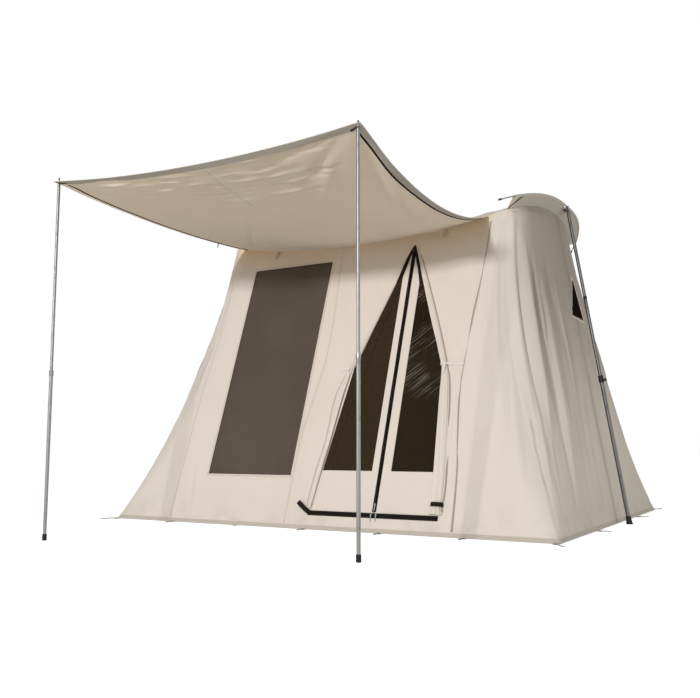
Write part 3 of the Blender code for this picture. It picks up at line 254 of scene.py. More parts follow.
# Colours that no setting changes, with an alpha where a node takes one
PLATED_COLOUR = (0.34, 0.33, 0.32)
SPRING_COLOUR = (0.20, 0.20, 0.20)
RUBBER_COLOUR = (0.012, 0.012, 0.012)
PLASTIC_COLOUR = (0.016, 0.016, 0.017)
# Painted highlight: the pale colour of the netting's creases where they would catch the light
PAINTED_HIGHLIGHT_COLOUR = (0.19, 0.165, 0.14, 1)
FLOOR_COLOUR = (0.90, 0.85, 0.77, 1)
GLOW_COLOUR = (0.90, 0.95, 1, 1)
SKY_COLOUR = (1.0, 0.99, 0.975, 1)

# Grids: how to index a whole one, the steps across the walls, and measures of the cloth
EVERY_CELL = slice(None)
WALL_STEPS = (34, 14, 40, 22, 44, 14, 40)
END_WALL_STEPS = (74, 24, 54)
FASCIA_STEPS = 8
LEAST_AREA_SHARE = 0.3
TURNED_UV_STEP = 0.002
SHARP_ANGLE = math.radians(40)
END_CLOTH_HEIGHT = 2.05
AWNING_CLOTH = (1.9, 1.82)

# Both sides and both bars, and sizes of the cloth and the hardware that only this script makes
SIDES = ((-1, "left"), (1, "right"))
REAR_OUT = WALL_OUT * [1, -1, 1]
DOOR_SIDES = {-1: DOOR_LEFT_SIDE, 1: DOOR_RIGHT_SIDE}
SEAM_HEIGHT = 0.0011
SLEEVE_CANVAS = 0.0011
BINDING_OUT = 0.010
# How far the painted shadow lines sit inside the front window's left and top edges
SHADOW_LINE_IN = 0.0015
END_BINDING_OUT = (0.014, 0.006)
ROOF_MARGIN = 0.0093
NOTCH_DEPTH = 0.012
NOTCH_REACH = 0.042
NET_TOP = DOOR_APEX - 0.024
FOLD_PLAY = 0.0005
SIDE_PLAY = 0.0003
SIDE_OUT = 0.0009
HEM_WEBBING = 0.0013
HEM_LEVELS = np.array([0.0010, 0.009, 0.017, 0.0245])
END_HEM_ROOM = 0.013
END_HEM_OUT = 0.0027
GROUND_LEVEL = 0.0018
PEG_ROD = 0.0026
PEG_SHOWN = 0.62
PEG_TURN = 0.22
ROLL_TURNS = 3.0
FLAP_AREA = (0.24, 0.75)
FLOOR_REACH = 30.0
FLOOR_DROP = 0.0002

# The awning's second layers as (place, u span, v span, finish); a span is (low, high, count)
AWNING_LAYERS = (
    ("front", (0.002, 0.998, 181), (0.001, 0.026, 6), "band"),
    ("left", (0.001, 0.021, 5), (0.003, 0.99, 121), "awning_edge"),
    ("right", (0.982, 0.999, 5), (0.003, 0.99, 121), "band"),
)

# Straps on the door as (distance from the door's middle, z, out from the wall); the left flap's
# band starts at x instead
TIE_MIDDLE = TIE_HALF_WIDTH + 0.017
TIE_END_STOPS = ((TIE_MIDDLE + 0.017, TIE_HEIGHT + 0.002, 0.012),
                 (TIE_MIDDLE + 0.040, TIE_HEIGHT - 0.002, 0.009),
                 (TIE_MIDDLE + 0.085, TIE_HEIGHT - 0.004, 0.005),
                 (TIE_MIDDLE + 0.130, TIE_HEIGHT - 0.002, 0.003))
TIE_KNOT_STOPS = ((TIE_MIDDLE - 0.010, TIE_HEIGHT + 0.016, 0.019),
                  (TIE_MIDDLE, TIE_HEIGHT + 0.006, 0.022),
                  (TIE_MIDDLE + 0.012, TIE_HEIGHT - 0.010, 0.021),
                  (TIE_MIDDLE + 0.006, TIE_HEIGHT - 0.055, 0.016))
LEFT_BAND_STOPS = ((0.010, 0.096, 0.004), (-0.030, 0.122, 0.020), (-0.072, 0.152, 0.018))

# Sections of turned pieces as (radius, height); the cap is a shell with a rounded nose
CAP_IN, CAP_OUT = BAR_RADIUS + 0.0001, BAR_RADIUS + 0.0022
CAP_PROFILE = ((CAP_IN, -0.020), (CAP_OUT, -0.020), (CAP_OUT, -0.001), (CAP_OUT * 0.85, 0.0018),
               (CAP_OUT * 0.5, 0.0034), (0.0002, 0.004), (0.0002, 0.0012), (CAP_IN, 0.0008))
EYELET_PROFILE = ((0.0038, 0.0022), (0.0075, 0.0024), (0.0085, 0.0014), (0.0085, -0.0024),
                  (0.0075, -0.0032), (0.0038, -0.0030))
SPIKE_TIP_PROFILE = ((0.0031, 0.0140), (0.0040, 0.0146), (0.0040, 0.0238), (0.0028, 0.0266),
                     (0.0006, 0.0274), (0.0006, 0.0250), (0.0031, 0.0226))
TAB_RING_PROFILE = ((0.0048, 0.0002), (0.0082, 0.0004), (0.0086, 0.0010), (0.0080, 0.0018),
                    (0.0048, 0.0016))
SPLICE_RING_PROFILE = ((0.01105, -0.011), (0.0122, -0.0105), (0.0126, -0.008), (0.0126, 0.008),
                       (0.0122, 0.0105), (0.01105, 0.011))


# Arithmetic on rows and grids of numbers

def lerp(a, b, share):
    return a + (b - a) * share


def fade(distance, reach):
    """0 up to no distance, then a straight rise to 1 at the reach and beyond."""
    return np.clip(distance / reach, 0, 1)


def stations(*spans):
    """One row of numbers through (low, high, count) spans that follow each other."""
    parts = [np.linspace(low, high, count, endpoint=False) for low, high, count in spans]
    return np.concatenate([*parts, [spans[-1][1]]])


def along_route(route, z):
    """A route's x at the heights z, by straight lines between its (x, z) stops."""
    xs, zs = np.array(route).T
    order = np.argsort(zs)
    return np.interp(z, zs[order], xs[order])


def spread(lines, counts):
    """Grid lines from each of the given lines to the next, in counts of even steps."""
    parts = [lerp(a[:, None], b[:, None], np.linspace(0, 1, count, endpoint=False))
             for a, b, count in zip(lines, lines[1:], counts)]
    return np.hstack([*parts, lines[-1][:, None]])


def between(values, low, high):
    """Which steps of a row of values have their middle between low and high."""
    middle = (values[:-1] + values[1:]) / 2
    return (middle > low) & (middle < high)


def creases(p, q, lines):
    """The sum of soft creases: each line's height, times a bell of the distance from it over its
    width, times half a sine wave along it."""
    total = np.zeros(np.broadcast(p, q).shape)
    for p0, q0, p1, q1, width, height in lines:
        dp, dq = p1 - p0, q1 - q0
        along = np.clip(((p - p0) * dp + (q - q0) * dq) / (dp * dp + dq * dq), 0, 1)
        off = np.hypot(p - p0 - along * dp, q - q0 - along * dq)
        total += height * np.exp(-(off / width) ** 2) * np.sin(np.pi * along)
    return total


def ripple(p, q, height, size, seed):
    """Small uneven waves, no higher than height: the mean of sine waves about size metres long in
    seeded directions."""
    rng = np.random.default_rng(seed)
    total = np.zeros(np.broadcast(p, q).shape)
    for _ in range(RIPPLE_WAVES):
        angle = rng.uniform(0, math.pi)
        phase = rng.uniform(0, 2 * math.pi)
        step = 2 * math.pi / (size * rng.uniform(0.7, 1.7))
        total += np.sin(step * (p * math.cos(angle) + q * math.sin(angle)) + phase)
    return height * (total / RIPPLE_WAVES)


def unit(vectors):
    return vectors / np.linalg.norm(vectors, axis=-1, keepdims=True)


def distances(points):
    """How far along a row of points each of them lies."""
    return np.concatenate([[0], np.cumsum(np.linalg.norm(np.diff(points, axis=0), axis=-1))])


def smooth_route(stops, count):
    """A smooth curve through the rows of stops, evenly spaced in their order (Catmull-Rom)."""
    stops = np.array(stops, float)
    padded = np.vstack([2 * stops[0] - stops[1], stops, 2 * stops[-1] - stops[-2]])
    at = np.linspace(0, len(stops) - 1, count)
    i = np.minimum(at.astype(int), len(stops) - 2)
    f = (at - i)[:, None]
    a, b, c, d = (padded[i + k] for k in range(4))
    return 0.5 * (2 * b + (c - a) * f + (2 * a - 5 * b + 4 * c - d) * f ** 2
                  + (3 * b - a - 3 * c + d) * f ** 3)


# Shapes that the part has

def bar_point(s, side):
    """Centre of a spring bar at s along Y from its middle: a power-law bow in height and plan."""
    s = np.asarray(s, float)
    bend = (np.abs(s) / BAR_HALF_SPAN) ** BAR_BEND
    return np.stack([side * (BAR_X - BAR_SWEEP * bend), MIDDLE_Y + s,
                     BAR_HEIGHT - BAR_DROP * bend], -1)


SLEEVE_CORNER = bar_point(SLEEVE_END, 1)


def eave_height(x):
    """The eave: a parabola between the wall's corners, then straight up to the sleeve."""
    x = np.abs(x)
    sag = EAVE_HEIGHT - EAVE_SAG * (1 - (x / ROOF_HALF_LENGTH) ** 2)
    rise = (x - ROOF_HALF_LENGTH) / (SLEEVE_CORNER[0] - ROOF_HALF_LENGTH)
    return np.where(x <= ROOF_HALF_LENGTH, sag,
                    EAVE_HEIGHT + (SLEEVE_CORNER[2] - EAVE_HEIGHT) * rise)


def flare(share, amount):
    """How far a seam is drawn in: nothing at its ends and most above half way."""
    return amount * 4 * share * (1 - share) * (0.75 + 0.5 * share)


def hip_x(z, hip=FRONT_HIP):
    """Where the edge between a long wall and an end wall is, at the heights z."""
    share = fade(z, EAVE_HEIGHT)
    return HALF_LENGTH - (HALF_LENGTH - ROOF_HALF_LENGTH) * share - flare(share, hip[0])


def hip_pull(distance, z, rounding):
    """How far the cloth near a hip is drawn inwards, both ways, to round the corner between two
    walls: the square of the share left to the hip, over a reach that makes the two walls meet
    smoothly. The rounding runs out at the hem and at the eave."""
    share = fade(z, EAVE_HEIGHT)
    depth = rounding * np.sin(np.pi * share) ** 0.7
    return depth * np.clip(1 - distance / (ROUNDING_REACH * depth + 0.01), 0, 1) ** 2


def wall_point(x, z, out=0.0):
    """The front wall's plane, moved out of it along its normal."""
    x, z, out = np.broadcast_arrays(x, z, out)
    flat = np.stack([x, FRONT_Y + LEAN * z, z], -1)
    return flat + WALL_OUT * out[..., None]


def front_skin(x, z, out=0.0, folds=None, hip=FRONT_HIP):
    """The front wall with its creases, and with its hips drawn in along the corner's middle line.
    Folds is the creases' depth: the user's, or 0 for the flat cloth of the door."""
    depth = fold_depth() if folds is None else folds
    relief = creases(x, z, FRONT_CREASES) * depth + ripple(x, z, *FRONT_RIPPLE) * depth
    from_hip = hip_x(z, hip) - np.abs(x)
    edge = fade(z - HEM_HEIGHT, 0.05) * fade(EAVE_HEIGHT - z, 0.05) * fade(from_hip, 0.07)
    points = wall_point(x, z, out + relief * edge)
    pull = hip_pull(from_hip, z, hip[1])
    points[..., 1] += PULL_ALONG_Y * pull
    points[..., 0] -= PULL_ALONG_X * np.sign(x) * pull
    return points


def fold_depth():
    return bpy.context.scene.tent_sizes.fold_depth


def seam_point(t, side):
    """Top edge of an end wall, t from -1 at the front corner to 1 at the rear."""
    fall = 1 - np.abs(t) ** BAR_BEND
    x = ROOF_HALF_LENGTH + (END_SEAM_X - ROOF_HALF_LENGTH) * fall
    z = EAVE_HEIGHT + (END_SEAM_HEIGHT - EAVE_HEIGHT) * fall
    return np.stack([side * x, MIDDLE_Y + t * EAVE_HALF_DEPTH, z], -1)


def end_wall_point(t, share, side):
    """An end wall: straight from the hem to its top edge, then drawn in by the flare."""
    t, share = np.broadcast_arrays(np.asarray(t, float), share)
    top = seam_point(t, side)
    base = np.stack([np.full(t.shape, side * HALF_LENGTH), MIDDLE_Y + t * DEPTH / 2,
                     np.zeros(t.shape)], -1)
    points = lerp(base, top, share[..., None])
    hip = np.where(t < 0, FRONT_HIP[0], REAR_HIP[0])
    points[..., 0] -= side * flare(share, hip * t * t)
    return points


def end_creases(side):
    """The end wall's folds as (t, share) lines: a few broad ones that hang from the bar near the
    hips, then seeded fine ones that fan out a little on their way down."""
    rng = np.random.default_rng(END_SEEDS[side])
    lines = list(END_CREASES)
    for _ in range(END_FINE_CREASES):
        t = rng.uniform(-0.95, 0.97)
        top = rng.uniform(0.40, 0.88)
        low = top - rng.uniform(0.18, 0.60)
        lean = t * rng.uniform(0.0, 0.08)
        width = rng.uniform(0.004, 0.011)
        height = width * rng.uniform(0.60, 1.15) * rng.choice([-1, 1])
        lines.append((t, top, t + lean, low, width, height))
    return lines


def end_skin(t, share, side, out=0.0):
    """An end wall with its creases, smoother round its window, and with its hips drawn in as the
    front wall's are."""
    points = end_wall_point(t, share, side)
    relief = END_CREASE_GAIN * creases(t, share, end_creases(side))
    relief += ripple(points[..., 1], points[..., 2], *END_RIPPLES[side])
    edge = fade(share, 0.06) * fade(1 - share, 0.05) * fade(1 - np.abs(t), 0.05)
    t0, t1 = window_sides(share)
    s0, s1 = END_WINDOW_SHARE
    off = np.hypot(np.maximum(np.maximum(t0 - t, t - t1), 0) / 0.06,
                   np.maximum(np.maximum(s0 - share, share - s1), 0) / 0.04)
    edge = edge * lerp(WINDOW_CALM, 1, np.clip(off, 0, 1))
    points[..., 0] += side * (relief * edge * fold_depth() + out)
    z = share * EAVE_HEIGHT
    half = DEPTH / 2 - LEAN * z
    pull = hip_pull((1 - np.abs(t)) * half, z, np.where(t < 0, FRONT_HIP[1], REAR_HIP[1]))
    points[..., 0] -= side * PULL_ALONG_X * pull
    points[..., 1] -= np.sign(t) * PULL_ALONG_Y * pull
    return points


def roof_point(u, t, margin):
    """The roof: u across the length, t from the front eave to the rear. It falls from the ridge to
    the eaves by the bar's power law, and the ridge dips by a parabola between the bars. Margin is
    how far its ends stop short of the bars."""
    reach = bar_point(t * SLEEVE_END, 1)[..., 0] - margin
    front_x = np.abs(u) * SLEEVE_CORNER[0]
    front_z = eave_height(front_x)
    past = fade(front_x - ROOF_HALF_LENGTH, SLEEVE_CORNER[0] - ROOF_HALF_LENGTH)
    half = np.where(past > 0, EAVE_HALF_DEPTH + (SLEEVE_END - EAVE_HALF_DEPTH) * past,
                    DEPTH / 2 - LEAN * front_z)
    ridge = RIDGE_MIDDLE + (BAR_HEIGHT - RIDGE_MIDDLE) * u * u
    z = front_z + (ridge - front_z) * (1 - np.abs(t) ** BAR_BEND)
    return np.stack([u * reach, MIDDLE_Y + t * half, z + GAP], -1)


def roof_relief(u, t):
    """How far the roof's creases and slow waves lift it: creases run in from each eave and from
    the middle of each bar."""
    lines = [(x, end * 1.05, x * 0.9, end * 0.2, 0.03, height)
             for end, row in ((-1, ROOF_FRONT_CREASES), (1, ROOF_REAR_CREASES))
             for x, height in row]
    lines += [(end, 0.0, end * 0.5, y, 0.05, 0.007) for end, y in ROOF_BAR_CREASES]
    return fold_depth() * (creases(u, t, lines) + ripple(u * 1.2, t * 0.7, *ROOF_RIPPLE))


def awning_creases():
    """The awning's large creases, and seeded short ones that crowd behind its front edge."""
    rng = np.random.default_rng(AWNING_SEED)
    lines = list(AWNING_CREASES)
    for _ in range(AWNING_FINE_CREASES):
        u, v = rng.uniform(0.16, 0.84), 0.030 + 0.20 * rng.uniform(0, 1) ** 1.6
        reach = rng.uniform(0.03, 0.09)
        rise = reach * rng.uniform(-0.35, 0.5) * 0.3
        width = rng.uniform(0.0035, 0.0065)
        height = rng.uniform(0.0055, 0.0110) * rng.choice([-1, 1])
        lines.append((u - reach, v - rise, u + reach, v + rise, width, height))
    return lines


def awning_point(u, v, out=0.0):
    """The awning: u from left to right, v from the front edge to the seam on the wall. Its front
    edge and its sides hang as parabolas, and its creases lift it; out is downwards."""
    u, v, out = np.broadcast_arrays(np.asarray(u, float), v, out)
    left, right = np.array(AWNING_FRONT_LEFT), np.array(AWNING_FRONT_RIGHT)
    front = left + (right - left) * u[..., None]
    front[..., 2] -= AWNING_FRONT_SAG * 4 * u * (1 - u)
    rear_x = lerp(AWNING_REAR_X[0], AWNING_REAR_X[1], u)
    rear = wall_point(rear_x, eave_height(rear_x) - AWNING_REAR_DROP, AWNING_REAR_OUT)
    points = lerp(front, rear, v[..., None])
    points[..., 2] -= lerp(*AWNING_SIDE_SAG, u) * 4 * v * (1 - v)
    edge = np.clip(v / 0.03, 0.25, 1) * fade(1 - v, 0.05)
    relief = creases(u, v, awning_creases()) + ripple(u * 1.9, v * 1.8, *AWNING_RIPPLE)
    points[..., 2] += relief * edge * fold_depth() - out
    return points


# Meshes

def add_mesh(name, points, faces, finish, uv=None):
    """A mesh object at the origin from whole arrays: points, quads and, for each point, a UV pair.
    A quad with a corner twice in a row is a triangle."""
    used, corners = np.unique(faces, return_inverse=True)
    corners = corners.reshape(-1, 4)
    first = np.ones(corners.shape, bool)
    first[:, 1:] = corners[:, 1:] != corners[:, :-1]
    sides = first.sum(1)
    corners = corners[first].astype(np.int32)
    mesh = bpy.data.meshes.new(name)
    mesh.vertices.add(len(used))
    mesh.vertices.foreach_set("co", points[used].astype(np.float32).ravel())
    mesh.loops.add(len(corners))
    mesh.loops.foreach_set("vertex_index", corners)
    mesh.polygons.add(len(sides))
    mesh.polygons.foreach_set("loop_start", (np.cumsum(sides) - sides).astype(np.int32))
    mesh.update(calc_edges=True)
    if uv is not None:
        layer = mesh.uv_layers.new(name="cloth")
        layer.data.foreach_set("uv", uv[used][corners].astype(np.float32).ravel())
    mesh.shade_smooth()
    obj = bpy.data.objects.new(name, mesh)
    bpy.context.scene.collection.objects.link(obj)
    mesh.materials.append(finish)
    return obj


def grid_faces(rows, columns, keep=EVERY_CELL, around=(0, 0)):
    """Quads of a grid, or the kept ones; around is 1 for rows or columns that close to a ring."""
    index = np.arange(rows * columns).reshape(rows, columns)
    index = np.pad(index, [(0, closes) for closes in around], "wrap")
    quads = np.stack([index[:-1, :-1], index[1:, :-1], index[1:, 1:], index[:-1, 1:]], -1)
    return quads[keep].reshape(-1, 4)


def facing(points, faces, away=None):
    """The faces, turned over if on the whole they look against away or, with no direction given,
    into the solid that they close."""
    a, b, c, d = (points[faces[:, k]] for k in range(4))
    if away is None:
        away = (a + b + c + d) / 4 - points.mean(0)
    return faces if (np.cross(c - a, d - b) * away).sum() > 0 else faces[:, ::-1]


def add_sheet(name, grid, finish, away, thickness, keep=EVERY_CELL, uv=None, body="tent",
              node=None):
    """A sheet of cloth through the middle of its thickness, from a grid of points; its outside
    faces away, and it stands for the node."""
    points = grid.reshape(-1, 3)
    uv = flat_uv(grid) if uv is None else uv
    faces = facing(points, grid_faces(*grid.shape[:2], keep), away)
    sheet = add_mesh(name, points, faces, finish_of(finish), uv.reshape(-1, 2))
    sharpen_border(sheet.data)
    solid = sheet.modifiers.new("thickness", "SOLIDIFY")
    solid.thickness = thickness
    solid.offset = 0.0
    fit(sheet, body, node)
    return sheet


def sharpen_border(mesh):
    """Marks a mesh's border edges sharp, so that the rim doesn't darken the cloth beside it."""
    edges = np.empty(len(mesh.loops), np.int32)
    mesh.loops.foreach_get("edge_index", edges)
    border = np.bincount(edges, minlength=len(mesh.edges)) == 1
    mesh.attributes.new("sharp_edge", "BOOLEAN", "EDGE").data.foreach_set("value", border)


def flat_uv(grid):
    """Mean distances in metres along a grid's rows and columns."""
    down = np.linalg.norm(np.diff(grid, axis=0), axis=-1).mean(1)
    across = np.linalg.norm(np.diff(grid, axis=1), axis=-1).mean(0)
    v, u = np.meshgrid(np.concatenate([[0], np.cumsum(down)]),
                       np.concatenate([[0], np.cumsum(across)]), indexing="ij")
    return np.stack([u, v], -1)


def cut_size(grid, keep=EVERY_CELL):
    """The flat width, length and area of a grid of cloth, by its longest row and column and its
    cells. The area is kept between a share of the width times the length and their whole product.
    The area stays within what the stage takes for such a width and length."""
    length = np.linalg.norm(np.diff(grid, axis=0), axis=-1).sum(0).max()
    width = np.linalg.norm(np.diff(grid, axis=1), axis=-1).sum(1).max()
    a, b, c, d = grid[:-1, :-1], grid[1:, :-1], grid[1:, 1:], grid[:-1, 1:]
    area = (np.linalg.norm(np.cross(c - a, d - b), axis=-1) / 2)[keep].sum()
    least = LEAST_AREA_SHARE * width * length
    return float(width), float(length), float(np.clip(area, least, width * length))


def fit(obj, body, node=None):
    """Fixes a piece to its body and hides the node that it stands for."""
    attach(obj, body)
    if node:
        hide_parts(node)


def carried(path, section, side, lift):
    """The grid of a section of (side, lift) pairs, or one for each station, along a path."""
    return path[:, None] + side[:, None] * section[..., :1] + lift[:, None] * section[..., 1:]


def closing_fans(rows, columns):
    """The triangles that close a tube's ends, round two points that follow its grid's points."""
    ring = np.arange(columns)
    turn, middle = np.roll(ring, -1), np.full(columns, rows * columns)
    far = (rows - 1) * columns
    return np.vstack([np.stack([turn, ring, middle, middle], -1),
                      np.stack([ring + far, turn + far, middle + 1, middle + 1], -1)])


def add_sweep(name, path, section, finish, up=(0, 0, 1), body="tent", node=None):
    """A strap, seam or rod: a closed section of (side, up) pairs carried along a path."""
    tangent = unit(np.gradient(path, axis=0))
    side = unit(np.cross(tangent, up))
    grid = carried(path, section, side, np.cross(side, tangent))
    rows, columns = grid.shape[:2]
    points = np.vstack([grid.reshape(-1, 3), grid[0].mean(0), grid[-1].mean(0)])
    faces = np.vstack([grid_faces(rows, columns, around=(0, 1)), closing_fans(rows, columns)])
    steps = distances(path)
    round_step = np.linspace(0, distances(grid[0])[-1], columns)
    uv = np.stack(np.broadcast_arrays(round_step, steps[:, None]), -1).reshape(-1, 2)
    uv = np.vstack([uv, [[0, 0], [0, steps[-1]]]])
    sweep = add_mesh(name, points, facing(points, faces), finish_of(finish), uv)
    fit(sweep, body, node)


def add_loop(name, path, side, lift, width, thickness, finish):
    """A strap closed round a roll: a flat section on given side and lift directions."""
    section = slab(width, thickness)
    grid = carried(path, section, side, lift)
    points = grid.reshape(-1, 3)
    faces = facing(points, grid_faces(*grid.shape[:2], around=(0, 1)))
    uv = np.stack(np.broadcast_arrays(section[:, 0] + width / 2, distances(path)[:, None]), -1)
    fit(add_mesh(name, points, faces, finish_of(finish), uv.reshape(-1, 2)), "tent")


def circle(radius, count):
    """A rod's section."""
    angle = np.linspace(0, 2 * math.pi, count, endpoint=False)
    return np.stack([radius * np.cos(angle), radius * np.sin(angle)], -1)


def slab(width, height):
    """A strap's section: a flat bar on the side axis with its corners taken off. A height below
    zero puts it under the axis."""
    w, h, e = width / 2, height, height * 0.25
    return np.array([(-w, e), (-w + e, 0), (w - e, 0), (w, e), (w, h - e), (w - e, h),
                     (-w + e, h), (-w, h - e)])


def on_wall(route, out, count):
    """A smooth path of points on the front wall through (x, z) stops, out from its skin."""
    curve = smooth_route(route, count)
    return front_skin(curve[:, 0], curve[:, 1], out)


def off_wall(stops, count, side=1, centre=0.0):
    """A smooth path through (x, z, out) stops off the wall's plane; x is from centre to a side."""
    curve = smooth_route(stops, count)
    return wall_point(centre + side * curve[:, 0], curve[:, 1], curve[:, 2])


def add_turned(name, profile, centre, axis, finish, steps=28):
    """A ring or cap turned through (radius, height) points about an axis that isn't along X; its
    section closes."""
    axis = unit(np.array(axis, float))
    first = unit(np.cross(axis, (1.0, 0, 0)))
    second = np.cross(axis, first)
    radius, height = np.array(profile).T[..., None]
    angle = np.linspace(0, 2 * math.pi, steps, endpoint=False)[:, None, None]
    around = np.cos(angle) * first + np.sin(angle) * second
    grid = np.array(centre) + around * radius + axis * height
    points = grid.reshape(-1, 3)
    faces = facing(points, grid_faces(*grid.shape[:2], around=(1, 1)))
    uv = np.stack(np.indices(grid.shape[:2]), -1).reshape(-1, 2) * TURNED_UV_STEP
    turned = add_mesh(name, points, faces, finish_of(finish), uv)
    turned.data.set_sharp_from_angle(angle=SHARP_ANGLE)
    fit(turned, "tent")


# Finishes

class Socket:
    """A node's output, with arithmetic that adds Math nodes."""

    def __init__(self, nodes, output):
        self.nodes = nodes
        self.output = output

    def maths(self, operation, *inputs):
        return self.nodes.socket("ShaderNodeMath", {"operation": operation},
                                 dict(enumerate(inputs)))

    def __add__(self, other):
        return self.maths("ADD", self, other)

    __radd__ = __add__

    def __sub__(self, other):
        return self.maths("SUBTRACT", self, other)

    def __rsub__(self, other):
        return self.maths("SUBTRACT", other, self)

    def __mul__(self, other):
        return self.maths("MULTIPLY", self, other)

    __rmul__ = __mul__

    def wave(self, length):
        """A sine wave of a length in metres."""
        return self.maths("SINE", self * (2 * math.pi / length))

    def size(self):
        return self.maths("ABSOLUTE", self)

    def least(self, other):
        return self.maths("MINIMUM", self, other)

    def most(self, other):
        return self.maths("MAXIMUM", self, other)

    def step(self, low, high):
        """0 below low and 1 above high, with a smooth rise between."""
        return self.nodes.socket("ShaderNodeMapRange", {"interpolation_type": "SMOOTHSTEP"},
                                 {"Value": self, "From Min": low, "From Max": high})


class Nodes:
    """A node tree, with short ways to add nodes and to link them."""

    def __init__(self, tree):
        self.tree = tree

    def node(self, kind, settings=(), inputs=()):
        """A node of a kind: its settings are set first, then its inputs' values or links."""
        made = self.tree.nodes.new(kind)
        for key, value in dict(settings).items():
            setattr(made, key, value)
        for key, value in dict(inputs).items():
            self.feed(made.inputs[key], value)
        return made

    def socket(self, kind, settings=(), inputs=(), output=0):
        return Socket(self, self.node(kind, settings, inputs).outputs[output])

    def feed(self, target, value):
        if isinstance(value, Socket):
            self.tree.links.new(value.output, target)
        else:
            target.default_value = value

    def seen_directly(self):
        """1 for rays from the camera, off gloss or through glass, 0 for those that only light."""
        ray = self.node("ShaderNodeLightPath")
        camera, glossy, clear = (Socket(self, ray.outputs[f"Is {word} Ray"])
                                 for word in ("Camera", "Glossy", "Transmission"))
        return (camera + glossy + clear).least(1.0)


class Finish(Nodes):
    """One material and the nodes that feed its shader."""

    def __init__(self, name, roughness, metallic=0.0, **fixed):
        self.material = bpy.data.materials.new(name)
        self.material.use_nodes = True
        super().__init__(self.material.node_tree)
        self.shader = self.tree.nodes["Principled BSDF"]
        self.set("Roughness", roughness)
        self.set("Metallic", metallic)
        for key, value in fixed.items():
            self.set(key.replace("_", " "), value)

    def set(self, name, value):
        self.feed(self.shader.inputs[name], value)

    def cloth(self):
        return self.socket("ShaderNodeUVMap", {"uv_map": "cloth"})

    def place(self):
        return self.socket("ShaderNodeTexCoord", output="Object")

    def parts(self, vector):
        node = self.node("ShaderNodeSeparateXYZ", (), {0: vector})
        return [Socket(self, output) for output in node.outputs]

    def noise(self, vector, scale, detail, stretch=(1, 1, 1)):
        moved = self.socket("ShaderNodeMapping", (), {"Vector": vector, "Scale": stretch})
        return self.socket("ShaderNodeTexNoise", (),
                           {"Vector": moved, "Scale": scale, "Detail": detail})

    def mix(self, a, b, share):
        """Colour a where share is 0 and b where it is 1."""
        return self.socket("ShaderNodeMix", {"data_type": "RGBA"}, {0: share, 6: a, 7: b},
                           output=2)

    def bump(self, height, distance, strength):
        self.set("Normal", self.socket("ShaderNodeBump", (), {
            "Height": height, "Distance": distance, "Strength": strength}))


def shade(colour, factor, warm=0.0):
    """A colour made lighter or darker, and a little warmer."""
    r, g, b = colour[:3]
    return (r * factor * (1 + warm), g * factor, b * factor * (1 - warm), 1)


def woven(finish, pitch):
    """Plain weave on the cloth's own UV: the product of two sine waves, one along each thread."""
    u, v, _ = finish.parts(finish.cloth())
    return u.wave(2 * pitch) * v.wave(2 * pitch)


def slubs(finish):
    """Uneven yarns: noise stretched along the warp and along the weft."""
    cloth = finish.cloth()
    warp = finish.noise(cloth, 1.0, 1.0, (620, 16, 1))
    weft = finish.noise(cloth, 1.0, 1.0, (14, 560, 1))
    return (warp + weft) * 0.5


def end_wall_painted_shade(finish, height):
    """Where an end wall gets painted shade: towards its top, and away from its front corner."""
    from_corner = finish.parts(finish.cloth())[0].step(-1.0, -0.62)
    return (height.step(0.55, 1.75) * 0.86 + 0.20) * from_corner


def awning_painted_shade(finish, height):
    """Where the awning gets painted shade: its right half, most behind the front edge."""
    u, v, _ = finish.parts(finish.cloth())
    return (0.08 + (1 - v.step(0.05, 0.80)) * 0.22) * u.step(0.35, 1.2)


def canvas_finish(name, colour, soil_and_shade=0.5, painted_shade_where=None):
    """Cotton canvas: weave, uneven yarns, slow colour drift, a little grime above the hem, painted
    shade under the eave, and more painted shade where the given function puts it."""
    finish = Finish(name, 0.92, Sheen_Weight=0.12, Sheen_Roughness=0.5,
                    Specular_IOR_Level=0.25)
    place = finish.place()
    yarn = slubs(finish)
    drift = finish.noise(place, 1.7, 3.0)
    patch = finish.noise(place, 9.0, 4.0)
    tone = drift.step(0.3, 0.7) * 0.55 + yarn.step(0.3, 0.7) * 0.45
    base = finish.mix(shade(colour, 0.955, 0.008), shade(colour, 1.025, -0.006), tone)
    x, y, height = finish.parts(place)
    low = (1 - height.step(0.0, 0.22)) * patch.step(0.42, 0.75)
    # Painted shade: the canvas's top at the front, left of the right hip, gets a warm dark tint
    # where the awning's shadow falls
    painted_shadow_area = (1 - x.step(0.90, 1.00)) * (1 - y.step(0.0, 0.3))
    high = height.step(1.62, 2.02) * (0.7 + 0.6 * patch) * painted_shadow_area
    painted_shade_tint = (colour[0], colour[1] * 0.70, colour[2] * 0.35, 1)
    base = finish.mix(base, painted_shade_tint, high * (1.15 * soil_and_shade))
    # The darkening mixes real grime above the hem with the painted shade that the given function
    # adds
    soil_and_painted_shade = low * (0.5 * soil_and_shade)
    if painted_shade_where:
        soil_and_painted_shade = soil_and_painted_shade + painted_shade_where(finish, height)
    finish.set("Base Color", finish.mix(base, shade(colour, 0.50, 0.05), soil_and_painted_shade.least(1.0)))
    finish.set("Roughness", 0.86 + 0.1 * patch)
    weave = woven(finish, bpy.context.scene.tent_sizes.weave_pitch)
    puckers = finish.noise(place, 26.0, 3.0)
    finish.bump(weave * 0.30 + yarn * 0.9 + puckers * 2.2, 0.0007, 0.6)


